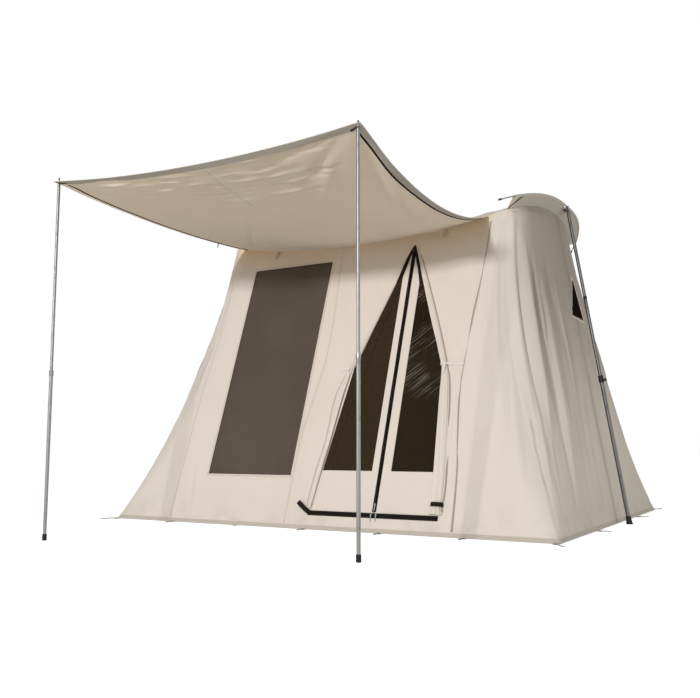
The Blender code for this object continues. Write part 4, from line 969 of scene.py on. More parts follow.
def seam_finish(name, colour):
    """A felled seam: canvas with two rows of stitches that follow the strip's length."""
    finish = Finish(name, 0.92, Specular_IOR_Level=0.25, Sheen_Weight=0.1)
    u, v, _ = finish.parts(finish.cloth())
    sizes = bpy.context.scene.tent_sizes
    near, far = (1 - (u - sizes.seam_width * share).size().step(0.0003, 0.0009)
                 for share in (0.22, 0.78))
    row = near.most(far)
    stitch = v.wave(sizes.stitch_length).step(-0.25, 0.1) * row
    yarn = slubs(finish)
    base = finish.mix(shade(colour, 0.94), shade(colour, 1.0), yarn.step(0.3, 0.7))
    groove = finish.mix(base, shade(colour, 0.88), row * 0.5)
    finish.set("Base Color", finish.mix(groove, shade(colour, 1.12), stitch))
    finish.bump(stitch * 0.8 - row * 0.5 + yarn * 0.4, 0.0008, 0.8)


def net_finish(name, colour, cover, gloss, highlight_share):
    """Knitted insect netting: a fine square mesh of threads, see-through between them, with painted
    highlights: pale slanting marks where its creases would catch the light."""
    finish = Finish(name, 0.6, Specular_IOR_Level=gloss)
    u, v, _ = finish.parts(finish.cloth())
    pitch = bpy.context.scene.tent_sizes.net_pitch
    hole = u.wave(2 * pitch).size().least(v.wave(2 * pitch).size()).step(0.25, 0.55)
    drift = finish.noise(finish.place(), 3.0, 4.0)
    base = finish.mix(shade(colour, 0.92), shade(colour, 1.10), drift.step(0.3, 0.7))
    along, rise = u * 0.80 + v * 0.60, v * 0.80 - u * 0.60
    slant = finish.socket("ShaderNodeCombineXYZ", (), {0: along, 1: rise})
    streak = finish.noise(slant, 1.0, 3.0, (4.5, 105, 1))
    cloud = finish.noise(slant, 3.4, 1.0)
    high = v.step(0.74, 0.88) * (1 - v.step(1.46, 1.62))
    # Painted highlight: pale slanting marks where the netting's creases would catch the light
    shine = streak.step(0.50, 0.66) * cloud.step(0.40, 0.56) * high
    finish.set("Base Color", finish.mix(base, PAINTED_HIGHLIGHT_COLOUR, shine * highlight_share))
    finish.set("Alpha", 1 - hole * (1 - cover))
    finish.bump(1 - hole, 0.0003, 0.6)


def webbing_finish(name, colour):
    """Woven strap: ribs along and across it, and a little fuzz."""
    finish = Finish(name, 0.7, Specular_IOR_Level=0.12)
    u, v, _ = finish.parts(finish.cloth())
    rib = v.wave(0.0018) * u.wave(0.0030)
    fuzz = finish.noise(finish.place(), 220.0, 3.0)
    tone = (rib * 0.25 + 0.5).least(1.0)
    finish.set("Base Color", finish.mix(shade(colour, 0.8), shade(colour, 1.12),
                                        tone * 0.6 + fuzz * 0.4))
    finish.bump(rib + fuzz, 0.0004, 0.7)


def coil_finish(name, colour):
    """Zip coil: close ribs across the chain."""
    finish = Finish(name, 0.85, Specular_IOR_Level=0.05)
    tooth = finish.parts(finish.cloth())[1].wave(0.0024)
    finish.set("Base Color", finish.mix(shade(colour, 0.6), shade(colour, 1.25),
                                        tooth.step(-0.2, 0.8)))
    finish.bump(tooth, 0.0008, 0.9)


def metal_finish(name, colour, roughness, spangle, wear):
    """Bare or plated metal: cloudy zinc spangle, fine drawn lines and dull handling marks."""
    finish = Finish(name, roughness, 1.0)
    place = finish.place()
    cells = finish.socket("ShaderNodeTexVoronoi", {"feature": "F1"},
                          {"Vector": place, "Scale": 180.0}, output="Color")
    drawn = finish.noise(place, 1.0, 2.0, (900, 900, 14))
    marks = finish.noise(place, 24.0, 5.0)
    dull = marks.step(0.52, 0.72)
    tone = finish.parts(cells)[0] * spangle + drawn * (1 - spangle)
    base = finish.mix(shade(colour, 0.86), shade(colour, 1.1), tone)
    finish.set("Base Color", finish.mix(base, shade(colour, 0.55), dull * wear))
    finish.set("Roughness", roughness + 0.18 * dull + 0.08 * tone)
    finish.bump(drawn * 0.2 + marks, 0.0001, 0.25)


def moulded_finish(name, colour, roughness, grain):
    """Moulded rubber or plastic: fine grain, rubbed paler here and there."""
    finish = Finish(name, roughness, Specular_IOR_Level=0.2)
    place = finish.place()
    fine = finish.noise(place, grain, 3.0)
    rub = finish.noise(place, 40.0, 4.0).step(0.55, 0.8)
    finish.set("Base Color", finish.mix(shade(colour, 0.9), shade(colour, 2.0, 0.04), rub * 0.6))
    finish.set("Roughness", roughness + 0.2 * rub)
    finish.bump(fine, 0.0003, 0.6)


def groundsheet_finish(name, colour):
    """Coated groundsheet: a coarse scrim under a smooth film, scuffed in clouds."""
    finish = Finish(name, 0.45, Specular_IOR_Level=0.4)
    place = finish.place()
    x, y, _ = finish.parts(place)
    scrim = x.wave(0.004).size().least(y.wave(0.004).size())
    scuff = finish.noise(place, 5.0, 5.0)
    finish.set("Base Color", finish.mix(shade(colour, 0.85), shade(colour, 1.25), scuff))
    finish.set("Roughness", 0.35 + 0.3 * scuff)
    finish.bump(scrim * 0.6 + scuff, 0.0006, 0.6)


def finish_makers(colours):
    """Each finish's function and what it is given after its name."""
    net = colours.window_net
    return {
        "canvas": (canvas_finish, colours.canvas),
        "roof": (canvas_finish, colours.canvas, 0.08),
        "end_canvas": (canvas_finish, colours.canvas, 0.5, end_wall_painted_shade),
        "awning": (canvas_finish, colours.awning, 0.0, awning_painted_shade),
        "awning_edge": (canvas_finish, shade(colours.awning, 1.12), 0.0),
        "band": (canvas_finish, colours.band, 0.0),
        # The fascia's darker grey is painted shade under the bars
        "fascia": (canvas_finish, colours.fascia, 0.0),
        "blind": (canvas_finish, colours.blind, 0.0),
        "seam": (seam_finish, shade(colours.canvas, 0.90, 0.02)),
        # A seam at half the canvas's brightness: painted shadow of the fold along the right panel
        # seam, and along the right flap's edge
        "panel_seam": (seam_finish, shade(colours.canvas, 0.50, 0.05)),
        "awning_seam": (seam_finish, shade(colours.awning, 0.95)),
        "window_net": (net_finish, net, 0.66, 0.10, 0.10),
        # The end windows' netting, near black and nearly opaque: painted shade of the dark inside
        # seen through it
        "end_net": (net_finish, shade(net, 0.12), 0.97, 0.0, 0.0),
        # The door nets are dark and nearly opaque, the left lighter: painted shade and light of the
        # inside seen through them; the right one also gets painted highlights
        "left_door_net": (net_finish, colours.left_door_net, 0.83, 0.06, 0.02),
        "right_door_net": (net_finish, colours.door_net, 0.86, 0.06, 0.7),
        "tape": (webbing_finish, colours.zip),
        "black_webbing": (webbing_finish, colours.zip),
        "webbing": (webbing_finish, colours.webbing),
        "tie": (webbing_finish, colours.tie),
        "coil": (coil_finish, colours.zip),
        "groundsheet": (groundsheet_finish, colours.groundsheet),
        "tube": (metal_finish, colours.tube, 0.36, 0.35, 0.35),
        # The end poles' tube, darker: painted shade on the poles at the shaded ends
        "dark_tube": (metal_finish, shade(colours.tube, 0.5), 0.36, 0.4, 0.4),
        "plated": (metal_finish, PLATED_COLOUR, 0.30, 0.1, 0.2),
        "spring": (metal_finish, SPRING_COLOUR, 0.42, 0.0, 0.5),
        "rubber": (moulded_finish, RUBBER_COLOUR, 0.62, 420.0),
        "plastic": (moulded_finish, PLASTIC_COLOUR, 0.42, 700.0),
    }


def finish_of(name):
    """The named finish, made when it is first asked for."""
    full = "tent_" + name
    if full not in bpy.data.materials:
        maker, *given = finish_makers(bpy.context.scene.tent_colours)[name]
        maker(full, *given)
    return bpy.data.materials[full]


# Pieces

def wall_columns(z):
    """The front wall's grid lines across, at the heights z: between the hips, the seams, the
    window's sides and the door's sides. Rows follow z, columns run from left to right."""
    right = hip_x(z)
    lines = [-right, along_route(LEFT_SEAM, z), np.full(z.shape, WINDOW_LEFT),
             np.full(z.shape, WINDOW_RIGHT), DOOR_X - along_route(DOOR_LEFT_SIDE, z),
             DOOR_X + along_route(DOOR_RIGHT_SIDE, z), along_route(RIGHT_SEAM, z), right]
    return spread(lines, WALL_STEPS)


def wall_rows():
    """The front wall's row heights, closer where the door and the window have an edge."""
    return stations((HEM_HEIGHT, DOOR_SILL, 8), (DOOR_SILL, WINDOW_BOTTOM, 13),
                    (WINDOW_BOTTOM, TIE_HEIGHT, 44), (TIE_HEIGHT, WINDOW_TOP, 50),
                    (WINDOW_TOP, DOOR_APEX, 4), (DOOR_APEX, EAVE_HEIGHT, 12))


def raise_rows(x, rows):
    """z of a wall's grid: those of its rows that are above the door rise to the sagging eave."""
    eave = eave_height(np.clip(x, -ROOF_HALF_LENGTH, ROOF_HALF_LENGTH)) - SEW_GAP
    share = fade(rows - DOOR_APEX, EAVE_HEIGHT - DOOR_APEX)[:, None]
    return np.where(share > 0, lerp(DOOR_APEX, eave, share), rows[:, None])


def wall_cloth(name, x, z, skin, out, node, keep=EVERY_CELL):
    """A long wall's canvas over its skin."""
    uv = np.stack([x, z / math.cos(LEAN_ANGLE)], -1)
    wall = add_sheet(name, skin, "canvas", out, CANVAS, keep, uv, node=node)
    cut_size(wall_point(x, z), keep)


def add_front_wall():
    """The front wall as one grid, with cells left out for the window and the door."""
    rows = wall_rows()
    x = wall_columns(rows)
    z = raise_rows(x, rows)
    column = np.arange(x.shape[1])
    stops = np.concatenate([[0], np.cumsum(WALL_STEPS)])
    in_window = (between(rows, WINDOW_BOTTOM, WINDOW_TOP)[:, None]
                 & between(column, stops[2], stops[3]))
    in_door = between(rows, DOOR_SILL, DOOR_APEX)[:, None] & between(column, stops[4], stops[5])
    wall_cloth("front_wall_canvas", x, z, front_skin(x, z, CANVAS / 2), WALL_OUT, "front_wall",
               ~(in_window | in_door))


def add_rear_wall():
    """The rear wall: the front wall's outline turned about the tent's middle, unbroken."""
    rows = stations((HEM_HEIGHT, DOOR_APEX, 90), (DOOR_APEX, EAVE_HEIGHT, 10))
    x = hip_x(rows, REAR_HIP)[:, None] * np.linspace(-1, 1, 150)
    z = raise_rows(x, rows)
    skin = turn_to_rear(front_skin(x, z, CANVAS / 2, hip=REAR_HIP))
    wall_cloth("rear_wall_canvas", x, z, skin, REAR_OUT, "rear_wall")


def turn_to_rear(points):
    """Points turned half round about the upright line through the tent's middle."""
    return points * [-1, -1, 1] + [0, 2 * MIDDLE_Y, 0]


def add_wall_seam(name, route, rear=False, count=90, finish="seam"):
    """A felled seam or a binding along (x, z) stops on a long wall's outside."""
    path = on_wall(route, CANVAS, count)
    if rear:
        path = turn_to_rear(path)
    add_sweep(name, path, seam_section(), finish, REAR_OUT if rear else WALL_OUT)


def seam_section(height=SEAM_HEIGHT):
    return slab(bpy.context.scene.tent_sizes.seam_width, height)


def add_front_seams():
    """The front wall's panel seams, the right one darkened as painted shadow, the window's
    bindings, and black lines of painted shadow along the window's left and top edges.
    """
    # The right panel seam is darkened as a painted shadow of the fold along it
    add_wall_seam("right_panel_seam", RIGHT_SEAM, finish="panel_seam")
    add_wall_seam("left_panel_seam", LEFT_SEAM)
    add_wall_seam("window_strip_seam", STRIP_SEAM)
    left, right = WINDOW_LEFT - BINDING_OUT, WINDOW_RIGHT + BINDING_OUT
    low, high = WINDOW_BOTTOM - BINDING_OUT, WINDOW_TOP + BINDING_OUT
    for place, start, end in (("left", (left, high), (left, low)),
                              ("right", (right, high), (right, low)),
                              ("sill", (left, low), (right, low)),
                              ("head", (left, high), (right, high))):
        add_wall_seam(f"window_{place}_binding", np.linspace(start, end, 4), count=60)
    # Painted shadow: black lines just inside the window's left and top edges, where the netting's
    # shadow gap falls
    left, high = WINDOW_LEFT + SHADOW_LINE_IN, WINDOW_TOP - SHADOW_LINE_IN
    for place, end in (("left", (left, WINDOW_BOTTOM)), ("head", (WINDOW_RIGHT, high))):
        path = on_wall(np.linspace((left, high), end, 4), CANVAS, 60)
        add_sweep(f"window_{place}_painted_shadow_line", path, slab(0.0045, 0.0012), "tape", WALL_OUT)


def add_rear_seams():
    """Two panel seams on the rear wall, which spread a little on their way down."""
    for name, x in (("rear_left_seam", 0.62), ("rear_right_seam", -0.62)):
        top = float(eave_height(x)) - 0.01
        add_wall_seam(name, ((x, top), (x * 1.03, 1.2), (x * 1.08, 0.03)), rear=True)


def end_cloth(name, t, share, side, finish, thickness, node, keep=EVERY_CELL):
    """A sheet on an end wall's skin, and its flat size."""
    share = np.broadcast_to(share, t.shape)
    sheet = add_sheet(name, end_skin(t, share, side), finish, (side, 0, 0.2), thickness,
                      keep, np.stack([t, share * END_CLOTH_HEIGHT], -1), node=node)
    return sheet, cut_size(end_wall_point(t, share, side), keep)


def add_end_wall(side, word):
    """An end wall as one grid, with cells left out for its window, and the window's netting."""
    low, high = END_WINDOW_SHARE
    share = stations((HEM_HEIGHT / EAVE_HEIGHT, low, 76), (low, high, 26),
                     (high, 1 - SEW_GAP / EAVE_HEIGHT, 26))
    hips = np.ones(share.shape)
    t = spread([-hips, *window_sides(share), hips], END_WALL_STEPS).T
    front = END_WALL_STEPS[0]
    keep = ~(between(np.arange(len(t)), front, front + END_WALL_STEPS[1])[:, None]
             & between(share, low, high))
    wall, size = end_cloth(f"{word}_end_canvas", t, share, side, "end_canvas", CANVAS,
                           f"{word}_end_wall", keep)
    share = np.linspace(low, high, 26)
    t = lerp(*window_sides(share), np.linspace(0, 1, 40)[:, None])
    net, size = end_cloth(f"{word}_end_window_net", t, share, side, "end_net", NETTING,
                          f"{word}_end_window_mesh")
    add_end_bindings(side, word)


def add_end_walls():
    for side, word in SIDES:
        add_end_wall(side, word)


def window_sides(share):
    """An end window's front and rear sides, as t at a height's share; they lean together."""
    low, high = END_WINDOW_SHARE
    rise = fade(share - low, high - low)
    return lerp(*END_WINDOW_FRONT, rise), lerp(*END_WINDOW_REAR, rise)


def add_end_bindings(side, word):
    """The stitched border round an end window, four strips on the wall's outer face."""
    low, high = END_WINDOW_SHARE
    out_t, out_share = END_BINDING_OUT
    corners = [(END_WINDOW_FRONT[1] - out_t, high + out_share),
               (END_WINDOW_FRONT[0] - out_t, low - out_share),
               (END_WINDOW_REAR[0] + out_t, low - out_share),
               (END_WINDOW_REAR[1] + out_t, high + out_share)]
    for k in range(4):
        line = np.linspace(corners[k], corners[(k + 1) % 4], 40)
        path = end_skin(line[:, 0], line[:, 1], side, CANVAS / 2)
        add_sweep(f"{word}_window_binding_{k + 1}", path, seam_section(), "seam",
                  (side, 0, 0.1))


def add_roof():
    """The roof as one saddle-shaped sheet, a little slack, cut back round the pole heads."""
    corner = ROOF_HALF_LENGTH / SLEEVE_CORNER[0]
    u = stations((-1, -corner, 8), (-corner, corner, 130), (corner, 1, 8))
    half = np.linspace(SLEEVE_NOTCH, SLEEVE_END, 40)
    t = np.concatenate([-half[::-1], [-0.03, 0, 0.03], half]) / SLEEVE_END
    u, t = np.meshgrid(u, t, indexing="ij")
    notch = NOTCH_DEPTH * np.exp(-(t * SLEEVE_END / NOTCH_REACH) ** 4)
    flat = roof_point(u, t, ROOF_MARGIN + notch)
    slack = fade(1 - np.abs(u), 0.04) * fade(1 - np.abs(t), 0.05)
    grid = flat.copy()
    grid[..., 2] += slack * roof_relief(u, t)
    roof = add_sheet("roof_canvas", grid, "roof", (0, 0, 1), CANVAS, node="roof")
    cut_size(flat)
    for name, u in (("roof_left_seam", -0.42), ("roof_right_seam", 0.42)):
        t = np.linspace(-0.985, 0.985, 80)
        path = roof_point(np.full(80, u), t, ROOF_MARGIN)
        path[:, 2] += 0.002 + roof_relief(np.full(80, u), t)
        add_sweep(name, path, seam_section(0.0012), "seam")


def sleeve_grid(side, way):
    """Rows along the bar; columns run from the end wall's seam up the fascia and round the bar."""
    s = way * np.concatenate([np.linspace(SLEEVE_NOTCH, EAVE_HALF_DEPTH, 46),
                              np.linspace(EAVE_HALF_DEPTH + 0.01, SLEEVE_END, 7)])
    centre = bar_point(s, side)
    along = unit(bar_point(s + 0.001, side) - bar_point(s - 0.001, side))
    seam_s = np.clip(s, -EAVE_HALF_DEPTH, EAVE_HALF_DEPTH)
    seam = seam_point(seam_s / EAVE_HALF_DEPTH, side) + [0, 0, GAP]
    drop = seam - bar_point(seam_s, side)
    drop = unit(drop - along * (drop * along).sum(1, keepdims=True))
    outward = np.broadcast_to(np.array([side, 0.0, 0.0]), drop.shape)
    outward = outward - drop * (outward * drop).sum(1, keepdims=True)
    outward = unit(outward - along * (outward * along).sum(1, keepdims=True))
    past = (np.abs(s) > EAVE_HALF_DEPTH + SEW_GAP)[:, None]
    seam = np.where(past, centre + drop * (SLEEVE_RADIUS + SLEEVE_TAIL), seam)
    angle = (SLEEVE_WRAP_START + SLEEVE_WRAP * np.linspace(0, 1, 19))[None, :, None]
    ring = (centre[:, None] + outward[:, None] * SLEEVE_RADIUS * np.cos(angle)
            - drop[:, None] * SLEEVE_RADIUS * np.sin(angle))
    share = np.linspace(0, 1, FASCIA_STEPS + 1)[None, :-1, None]
    band = lerp(seam[:, None], ring[:, :1], share)
    wave = 0.0016 * np.sin(np.pi * share) * np.sin(s[:, None, None] * 31 + side)
    return np.concatenate([band + outward[:, None] * wave, ring], axis=1)


def add_sleeves():
    """Bar sleeves with their fascias, the stitched line under the bar, and the bars' end caps."""
    for side, word in SIDES:
        for way, place in ((-1, "front"), (1, "rear")):
            name = f"{word}_{place}"
            grid = sleeve_grid(side, way)
            sleeve = add_sheet(f"{name}_sleeve_canvas", grid, "fascia", (side, 0, 1.0),
                               SLEEVE_CANVAS, node=f"{name}_sleeve")
            cut_size(grid)
            below, line, above = (grid[:, FASCIA_STEPS + k] for k in (-2, -1, 0))
            out = unit(np.cross(np.gradient(above, axis=0), above - below))
            out = out * np.sign(out[:, :1] * side)
            add_sweep(f"{name}_sleeve_seam", lerp(line, above, 0.5) + out * 0.0008,
                      slab(0.005, 0.0006), "seam", (side, 0, 0.3))
            inner, tip = bar_point(way * np.array([BAR_HALF_SPAN - 0.020, BAR_HALF_SPAN]), side)
            add_turned(f"{name}_bar_cap", CAP_PROFILE, tip, tip - inner, "rubber", 20)
        add_notch_cloth(side, word)


def add_notch_cloth(side, word):
    """The fascia's lower part where it passes behind a pole's head, between the two sleeves."""
    reach = SLEEVE_NOTCH + 0.004
    s = np.linspace(-reach, reach, 14)
    seam = seam_point(s / EAVE_HALF_DEPTH, side) + [0, 0, GAP]
    share = np.linspace(0.0, 0.62, 8)[None, :, None]
    grid = lerp(seam[:, None], bar_point(s, side)[:, None], share) - [side * 0.0016, 0, 0]
    add_sheet(f"{word}_notch_cloth", grid, "fascia", (side, 0, 0.5), 0.0010)


def add_awning():
    """The awning as one sheet, with its hem band, side strips, panel seam, side zips, the end of a
    zip's strap and its corners."""
    u, v = np.meshgrid(np.linspace(0, 1, 181), np.linspace(0, 1, 151), indexing="ij")
    grid = awning_point(u, v)
    canopy = add_sheet("awning_canvas", grid, "awning", (0, 0, 1), 0.0012,
                       uv=np.stack([u, v], -1) * AWNING_CLOTH, node="awning_canopy")
    layers = [awning_layer(f"awning_{place}_hem", u_span, v_span, finish)
              for place, u_span, v_span, finish in AWNING_LAYERS]
    cut_size(grid)
    for word, u in (("left", 0.026), ("right", 0.979)):
        path = awning_point(np.full(120, u), np.linspace(0.035, 0.985, 120), 0.0020)
        add_sweep(f"awning_{word}_zip_tape", path, slab(0.0105, -0.0008), "tape")
        add_sweep(f"awning_{word}_zip_coil", path - [0, 0, 0.0006], slab(0.0045, -0.0012), "coil")
    path = awning_point(np.full(80, 0.52), np.linspace(0.027, 0.285, 80), 0.0006)
    add_sweep("awning_panel_seam", path, seam_section(-0.0005), "awning_seam")
    hang = awning_point(0.024, 0.79, 0.0030) - np.linspace(0, 0.034, 10)[:, None] * [0.12, 0, 1]
    add_sweep("awning_left_zip_pull", hang, slab(0.007, 0.0016), "black_webbing",
              (0, -1, 0))
    add_awning_corners()


def awning_layer(name, u_span, v_span, finish):
    """A second layer of cloth under part of the awning; the grid's rows follow its longer way."""
    u, v = np.meshgrid(np.linspace(*u_span), np.linspace(*v_span), indexing="ij")
    if u_span[2] < v_span[2]:
        u, v = u.T, v.T
    grid = awning_point(u, v, 0.0013)
    layer = add_sheet(name, grid, finish, (0, 0, -1), 0.0009)
    cut_size(grid)
    return layer


def add_awning_corners():
    """Webbing patches and an eyelet at each front corner, and a dark tip on the pole's spike."""
    for word, (x, y), u, way in (("left", PIN_PLACES[0], 0.012, -1),
                                 ("right", PIN_PLACES[1], 0.988, 1)):
        centre = np.array([x, y, awning_point(u, 0.012)[2]])
        add_turned(f"awning_{word}_eyelet", EYELET_PROFILE, centre, (0, 0, 1), "plated")
        add_turned(f"awning_{word}_spike_tip", SPIKE_TIP_PROFILE, centre, (0, 0, 1), "plastic")
        share = np.linspace(0, 1, 12)[:, None]
        path = centre + share * [-way * 0.045, 0.012, 0]
        path[:, 2] = centre[2] - 0.0035 - 0.008 * share[:, 0] ** 2
        add_sweep(f"awning_{word}_corner_strap", path, slab(0.012, -0.0015), "black_webbing")


def window_grid(border):
    """x and z over the front window and a border round it."""
    return np.meshgrid(np.linspace(WINDOW_LEFT - border, WINDOW_RIGHT + border, 60),
                       np.linspace(WINDOW_BOTTOM - border, WINDOW_TOP + border, 120),
                       indexing="ij")


def add_window():
    """The front window's netting, the closed blind behind it, and their soft creases."""
    x, z = window_grid(0.0)
    edge = (fade(x - WINDOW_LEFT, 0.03) * fade(WINDOW_RIGHT - x, 0.03)
            * fade(z - WINDOW_BOTTOM, 0.03) * fade(WINDOW_TOP - z, 0.03))
    soft = creases(x, z, WINDOW_CREASES) * edge * fold_depth()
    grid = front_skin(x, z, CANVAS - NETTING / 2) + WALL_OUT * (0.4 * soft)[..., None]
    net = add_sheet("front_window_net", grid, "window_net", WALL_OUT, NETTING,
                    uv=np.stack([x, z], -1), node="front_window_mesh")
    cut_size(wall_point(x, z))
    x, z = window_grid(0.022)
    soft = creases(x, z, WINDOW_CREASES) * fold_depth()
    grid = front_skin(x, z, -0.0030) + WALL_OUT * np.minimum(soft, 0.0)[..., None]
    blind = add_sheet("front_window_cloth", grid, "blind", WALL_OUT, 0.0010,
                      uv=np.stack([x, z], -1), node="front_window_blind")
    cut_size(wall_point(x, z))


def fold_line(z):
    """How far a door half's fold line is from the door's middle, at the heights z."""
    return DOOR_HALF_WIDTH * (DOOR_APEX - z) / (DOOR_APEX - DOOR_SILL)


def half_columns(z, side):
    """A door half's grid lines at the heights z, as distances from the door's middle: its fold
    line, the netting's edge beside the zip, and the zip's edge."""
    fold = fold_line(z) - FOLD_PLAY
    if side > 0:
        fold = np.minimum(fold, along_route(DOOR_RIGHT_SIDE, z) - 0.0015)
    zip_edge = np.full(z.shape, ZIP_HALF_WIDTH + GAP)
    fold = np.maximum(fold, zip_edge + 0.0004)
    inner = np.minimum(zip_edge + DOOR_CENTRE_BORDER[side > 0], fold - 0.0002)
    return fold, inner, zip_edge


def opening_grid(z, across, side):
    """x and z of a grid in the door's opening, from rows of distances from its middle."""
    return DOOR_X + side * across, np.broadcast_to(z[:, None], across.shape)


def door_cloth(name, x, z, out, finish, thickness, keep=EVERY_CELL, body="tent", node=None,
               inward=0.0):
    """A flat sheet in the door's opening, out from the wall; inward is its creases' depth."""
    grid = front_skin(x, z, out, 0.0) - WALL_OUT * np.broadcast_to(inward, x.shape)[..., None]
    return add_sheet(name, grid, finish, WALL_OUT, thickness, keep, np.stack([x, z], -1),
                     body, node)


def add_door():
    """Both door halves, the zip's tapes and chain, and the cloth that stays in the opening."""
    for side, word in SIDES:
        add_door_frame(side, word)
        add_door_net(side, word)
        add_side_net(side, word)
        z = np.linspace(DOOR_SILL + 0.004, NET_TOP - 0.02, 120)
        x = DOOR_X + side * (0.0092 + 0.0004 * np.sin(z * 19 + side))
        add_sweep(f"door_{word}_tape", front_skin(x, z, CANVAS + 0.00005, 0.0),
                  slab(0.0086, 0.0005), "tape", WALL_OUT, f"door_{word}_half")
    z = np.linspace(DOOR_SILL + 0.001, DOOR_APEX - 0.034, 160)
    add_sweep("door_centre_chain", front_skin(np.full(160, DOOR_X), z, 0.0, 0.0),
              rounded(0.0098, 0.0014), "coil", WALL_OUT, "door_right_half",
              "door_centre_zip")
    add_side_wedge()
    add_sill_zip()


def add_door_frame(side, word):
    """A half's canvas: the kick panel and the border beside the zip."""
    z = stations((DOOR_SILL + 0.0006, DOOR_KICK_TOP, 18), (DOOR_KICK_TOP, NET_TOP, 110))
    net_steps, border_steps = 28, 8
    across = spread(half_columns(z, side), (net_steps, border_steps))
    keep = ~(between(z, DOOR_KICK_TOP, NET_TOP)[:, None]
             & between(np.arange(across.shape[1]), 0, net_steps))
    x, z = opening_grid(z, across, side)
    panel = door_cloth(f"door_{word}_frame", x, z, CANVAS / 2, "canvas", CANVAS, keep,
                       f"door_{word}_half", f"door_{word}_panel")
    cut_size(front_skin(x, z, CANVAS / 2, 0.0), keep)


def rounded(width, height):
    """A zip chain's section: flat underneath and crowned on top by half a sine wave."""
    x = np.linspace(-1, 1, 7)
    crown = np.stack([x * width / 2, height * (0.45 + 0.55 * np.cos(x * math.pi / 2))], -1)
    return np.vstack([[(width / 2, 0)], crown[::-1], [(-width / 2, 0)]])


def add_door_net(side, word):
    """A half's netting, from its fold line to the canvas beside the zip."""
    z = np.linspace(DOOR_KICK_TOP - 0.004, NET_TOP, 110)
    fold, inner, _ = half_columns(z, side)
    span = np.linspace(0, 1, 40)
    x, z = opening_grid(z, lerp(fold[:, None], inner[:, None] - 0.004, span), side)
    wide = (fold - inner)[:-1] > 0.002
    keep = np.broadcast_to(wide[:, None], (x.shape[0] - 1, x.shape[1] - 1))
    edge = np.clip(6 * span * (1 - span), 0, 1) * fade(z - DOOR_KICK_TOP, 0.04)
    soft = creases(x, z, NET_CREASES) * edge * fold_depth()
    net = door_cloth(f"door_{word}_net", x, z, NETTING / 2 - 0.0006, f"{word}_door_net",
                     0.0005, keep, f"door_{word}_half", f"door_{word}_mesh", np.abs(soft))
    cut_size(front_skin(x, z, 0.0, 0.0), keep)


def beside_fold(z, side, past, columns):
    """x and z from a half's fold line to a little past the opening's bent side, on the tent."""
    fold = fold_line(z) + SIDE_PLAY
    outer = np.maximum(along_route(DOOR_SIDES[side], z) + past, fold + 0.0006)
    across = lerp(fold[:, None], outer[:, None], np.linspace(0, 1, columns))
    return opening_grid(z, across, side)


def add_side_wedge():
    """The canvas beside the kick panel, between the left half's fold line and the wall."""
    x, z = beside_fold(np.linspace(DOOR_SILL + 0.003, DOOR_KICK_TOP, 16), -1, 0.004, 6)
    door_cloth("door_left_side_wedge", x, z, SIDE_OUT, "canvas", 0.0006)


def add_side_net(side, word):
    """Netting between a half's fold line and the opening's bent side, on the tent itself."""
    low = DOOR_KICK_TOP if side < 0 else 0.52
    x, z = beside_fold(np.linspace(low, DOOR_APEX - 0.03, 110), side, 0.003, 8)
    net = door_cloth(f"door_{word}_side_net", x, z, SIDE_OUT, f"{word}_door_net",
                     0.0004, node=f"door_{word}_side_mesh")
    cut_size(front_skin(x, z, SIDE_OUT, 0.0))


def add_sill_zip():
    """The sill zip: a black tape with its coil chain along the middle."""
    middle = (SILL_ZIP_LOW + SILL_ZIP_HIGH) / 2
    x = np.linspace(DOOR_X - DOOR_HALF_WIDTH - 0.015, DOOR_X + DOOR_HALF_WIDTH - 0.03, 120)
    path = front_skin(x, np.full(120, middle), CANVAS + GAP, 0.0)
    add_sweep("sill_zip_tape", path, slab(SILL_ZIP_HIGH - SILL_ZIP_LOW, 0.0008), "tape",
              WALL_OUT, node="door_sill_zip")
    add_sweep("sill_zip_chain", path + WALL_OUT * 0.0007, rounded(0.0065, 0.0009), "coil",
              WALL_OUT)


def add_flaps():
    """Each door flap as a flattened roll of cloth, carried from the apex past the tie to the sill,
    with its tie, straps and zip tape, and a dark strip of painted shadow along the right one's
    edge."""
    for side, word in SIDES:
        add_roll(side, word)
        add_flap_trim(side, word)
        add_apex_tape(side, word)
    # A dark strip along the right flap's outer edge: painted shadow
    inner, height, width, _ = smooth_route(FLAP_STOPS[1], 120)[8:-4].T
    path = wall_point(DOOR_X + inner + width + 0.0035, height, CANVAS + 0.0004)
    add_sweep("door_right_flap_shadow_strip", path, slab(0.0095, 0.0012), "panel_seam", WALL_OUT)


def add_roll(side, word):
    """A flap's roll: a spiral section of three turns, with gathers that run along it."""
    inner, height, width, depth = smooth_route(FLAP_STOPS[side], 130).T[..., None]
    angle = np.linspace(0, 2 * math.pi * ROLL_TURNS, 150)[None]
    grow = 0.22 + 0.78 * angle / (2 * math.pi * ROLL_TURNS)
    cosine, sine = np.cos(angle + 0.6), np.sin(angle + 0.6)
    gather = 1 + 0.30 * np.sin(8 * cosine + 7 * height + side) * fade(width, 0.06)
    gather = gather + ripple(cosine * 0.4, height, *FLAP_RIPPLES[side])
    x = inner + width / 2 * (1 + grow * cosine)
    taper = 0.62 - 0.38 * grow * cosine
    out = CANVAS + GAP + depth * taper * (
        0.5 + 0.5 * grow * sine * np.where(sine > 0, gather, 0.96))
    grid = wall_point(DOOR_X + side * x, np.broadcast_to(height, x.shape), out)
    roll = add_sheet(f"door_{word}_flap_roll", grid, "canvas", (0, 0, 1), 0.0007,
                     node=f"door_{word}_flap")
    area = float(np.clip(cut_size(grid)[2], *FLAP_AREA))


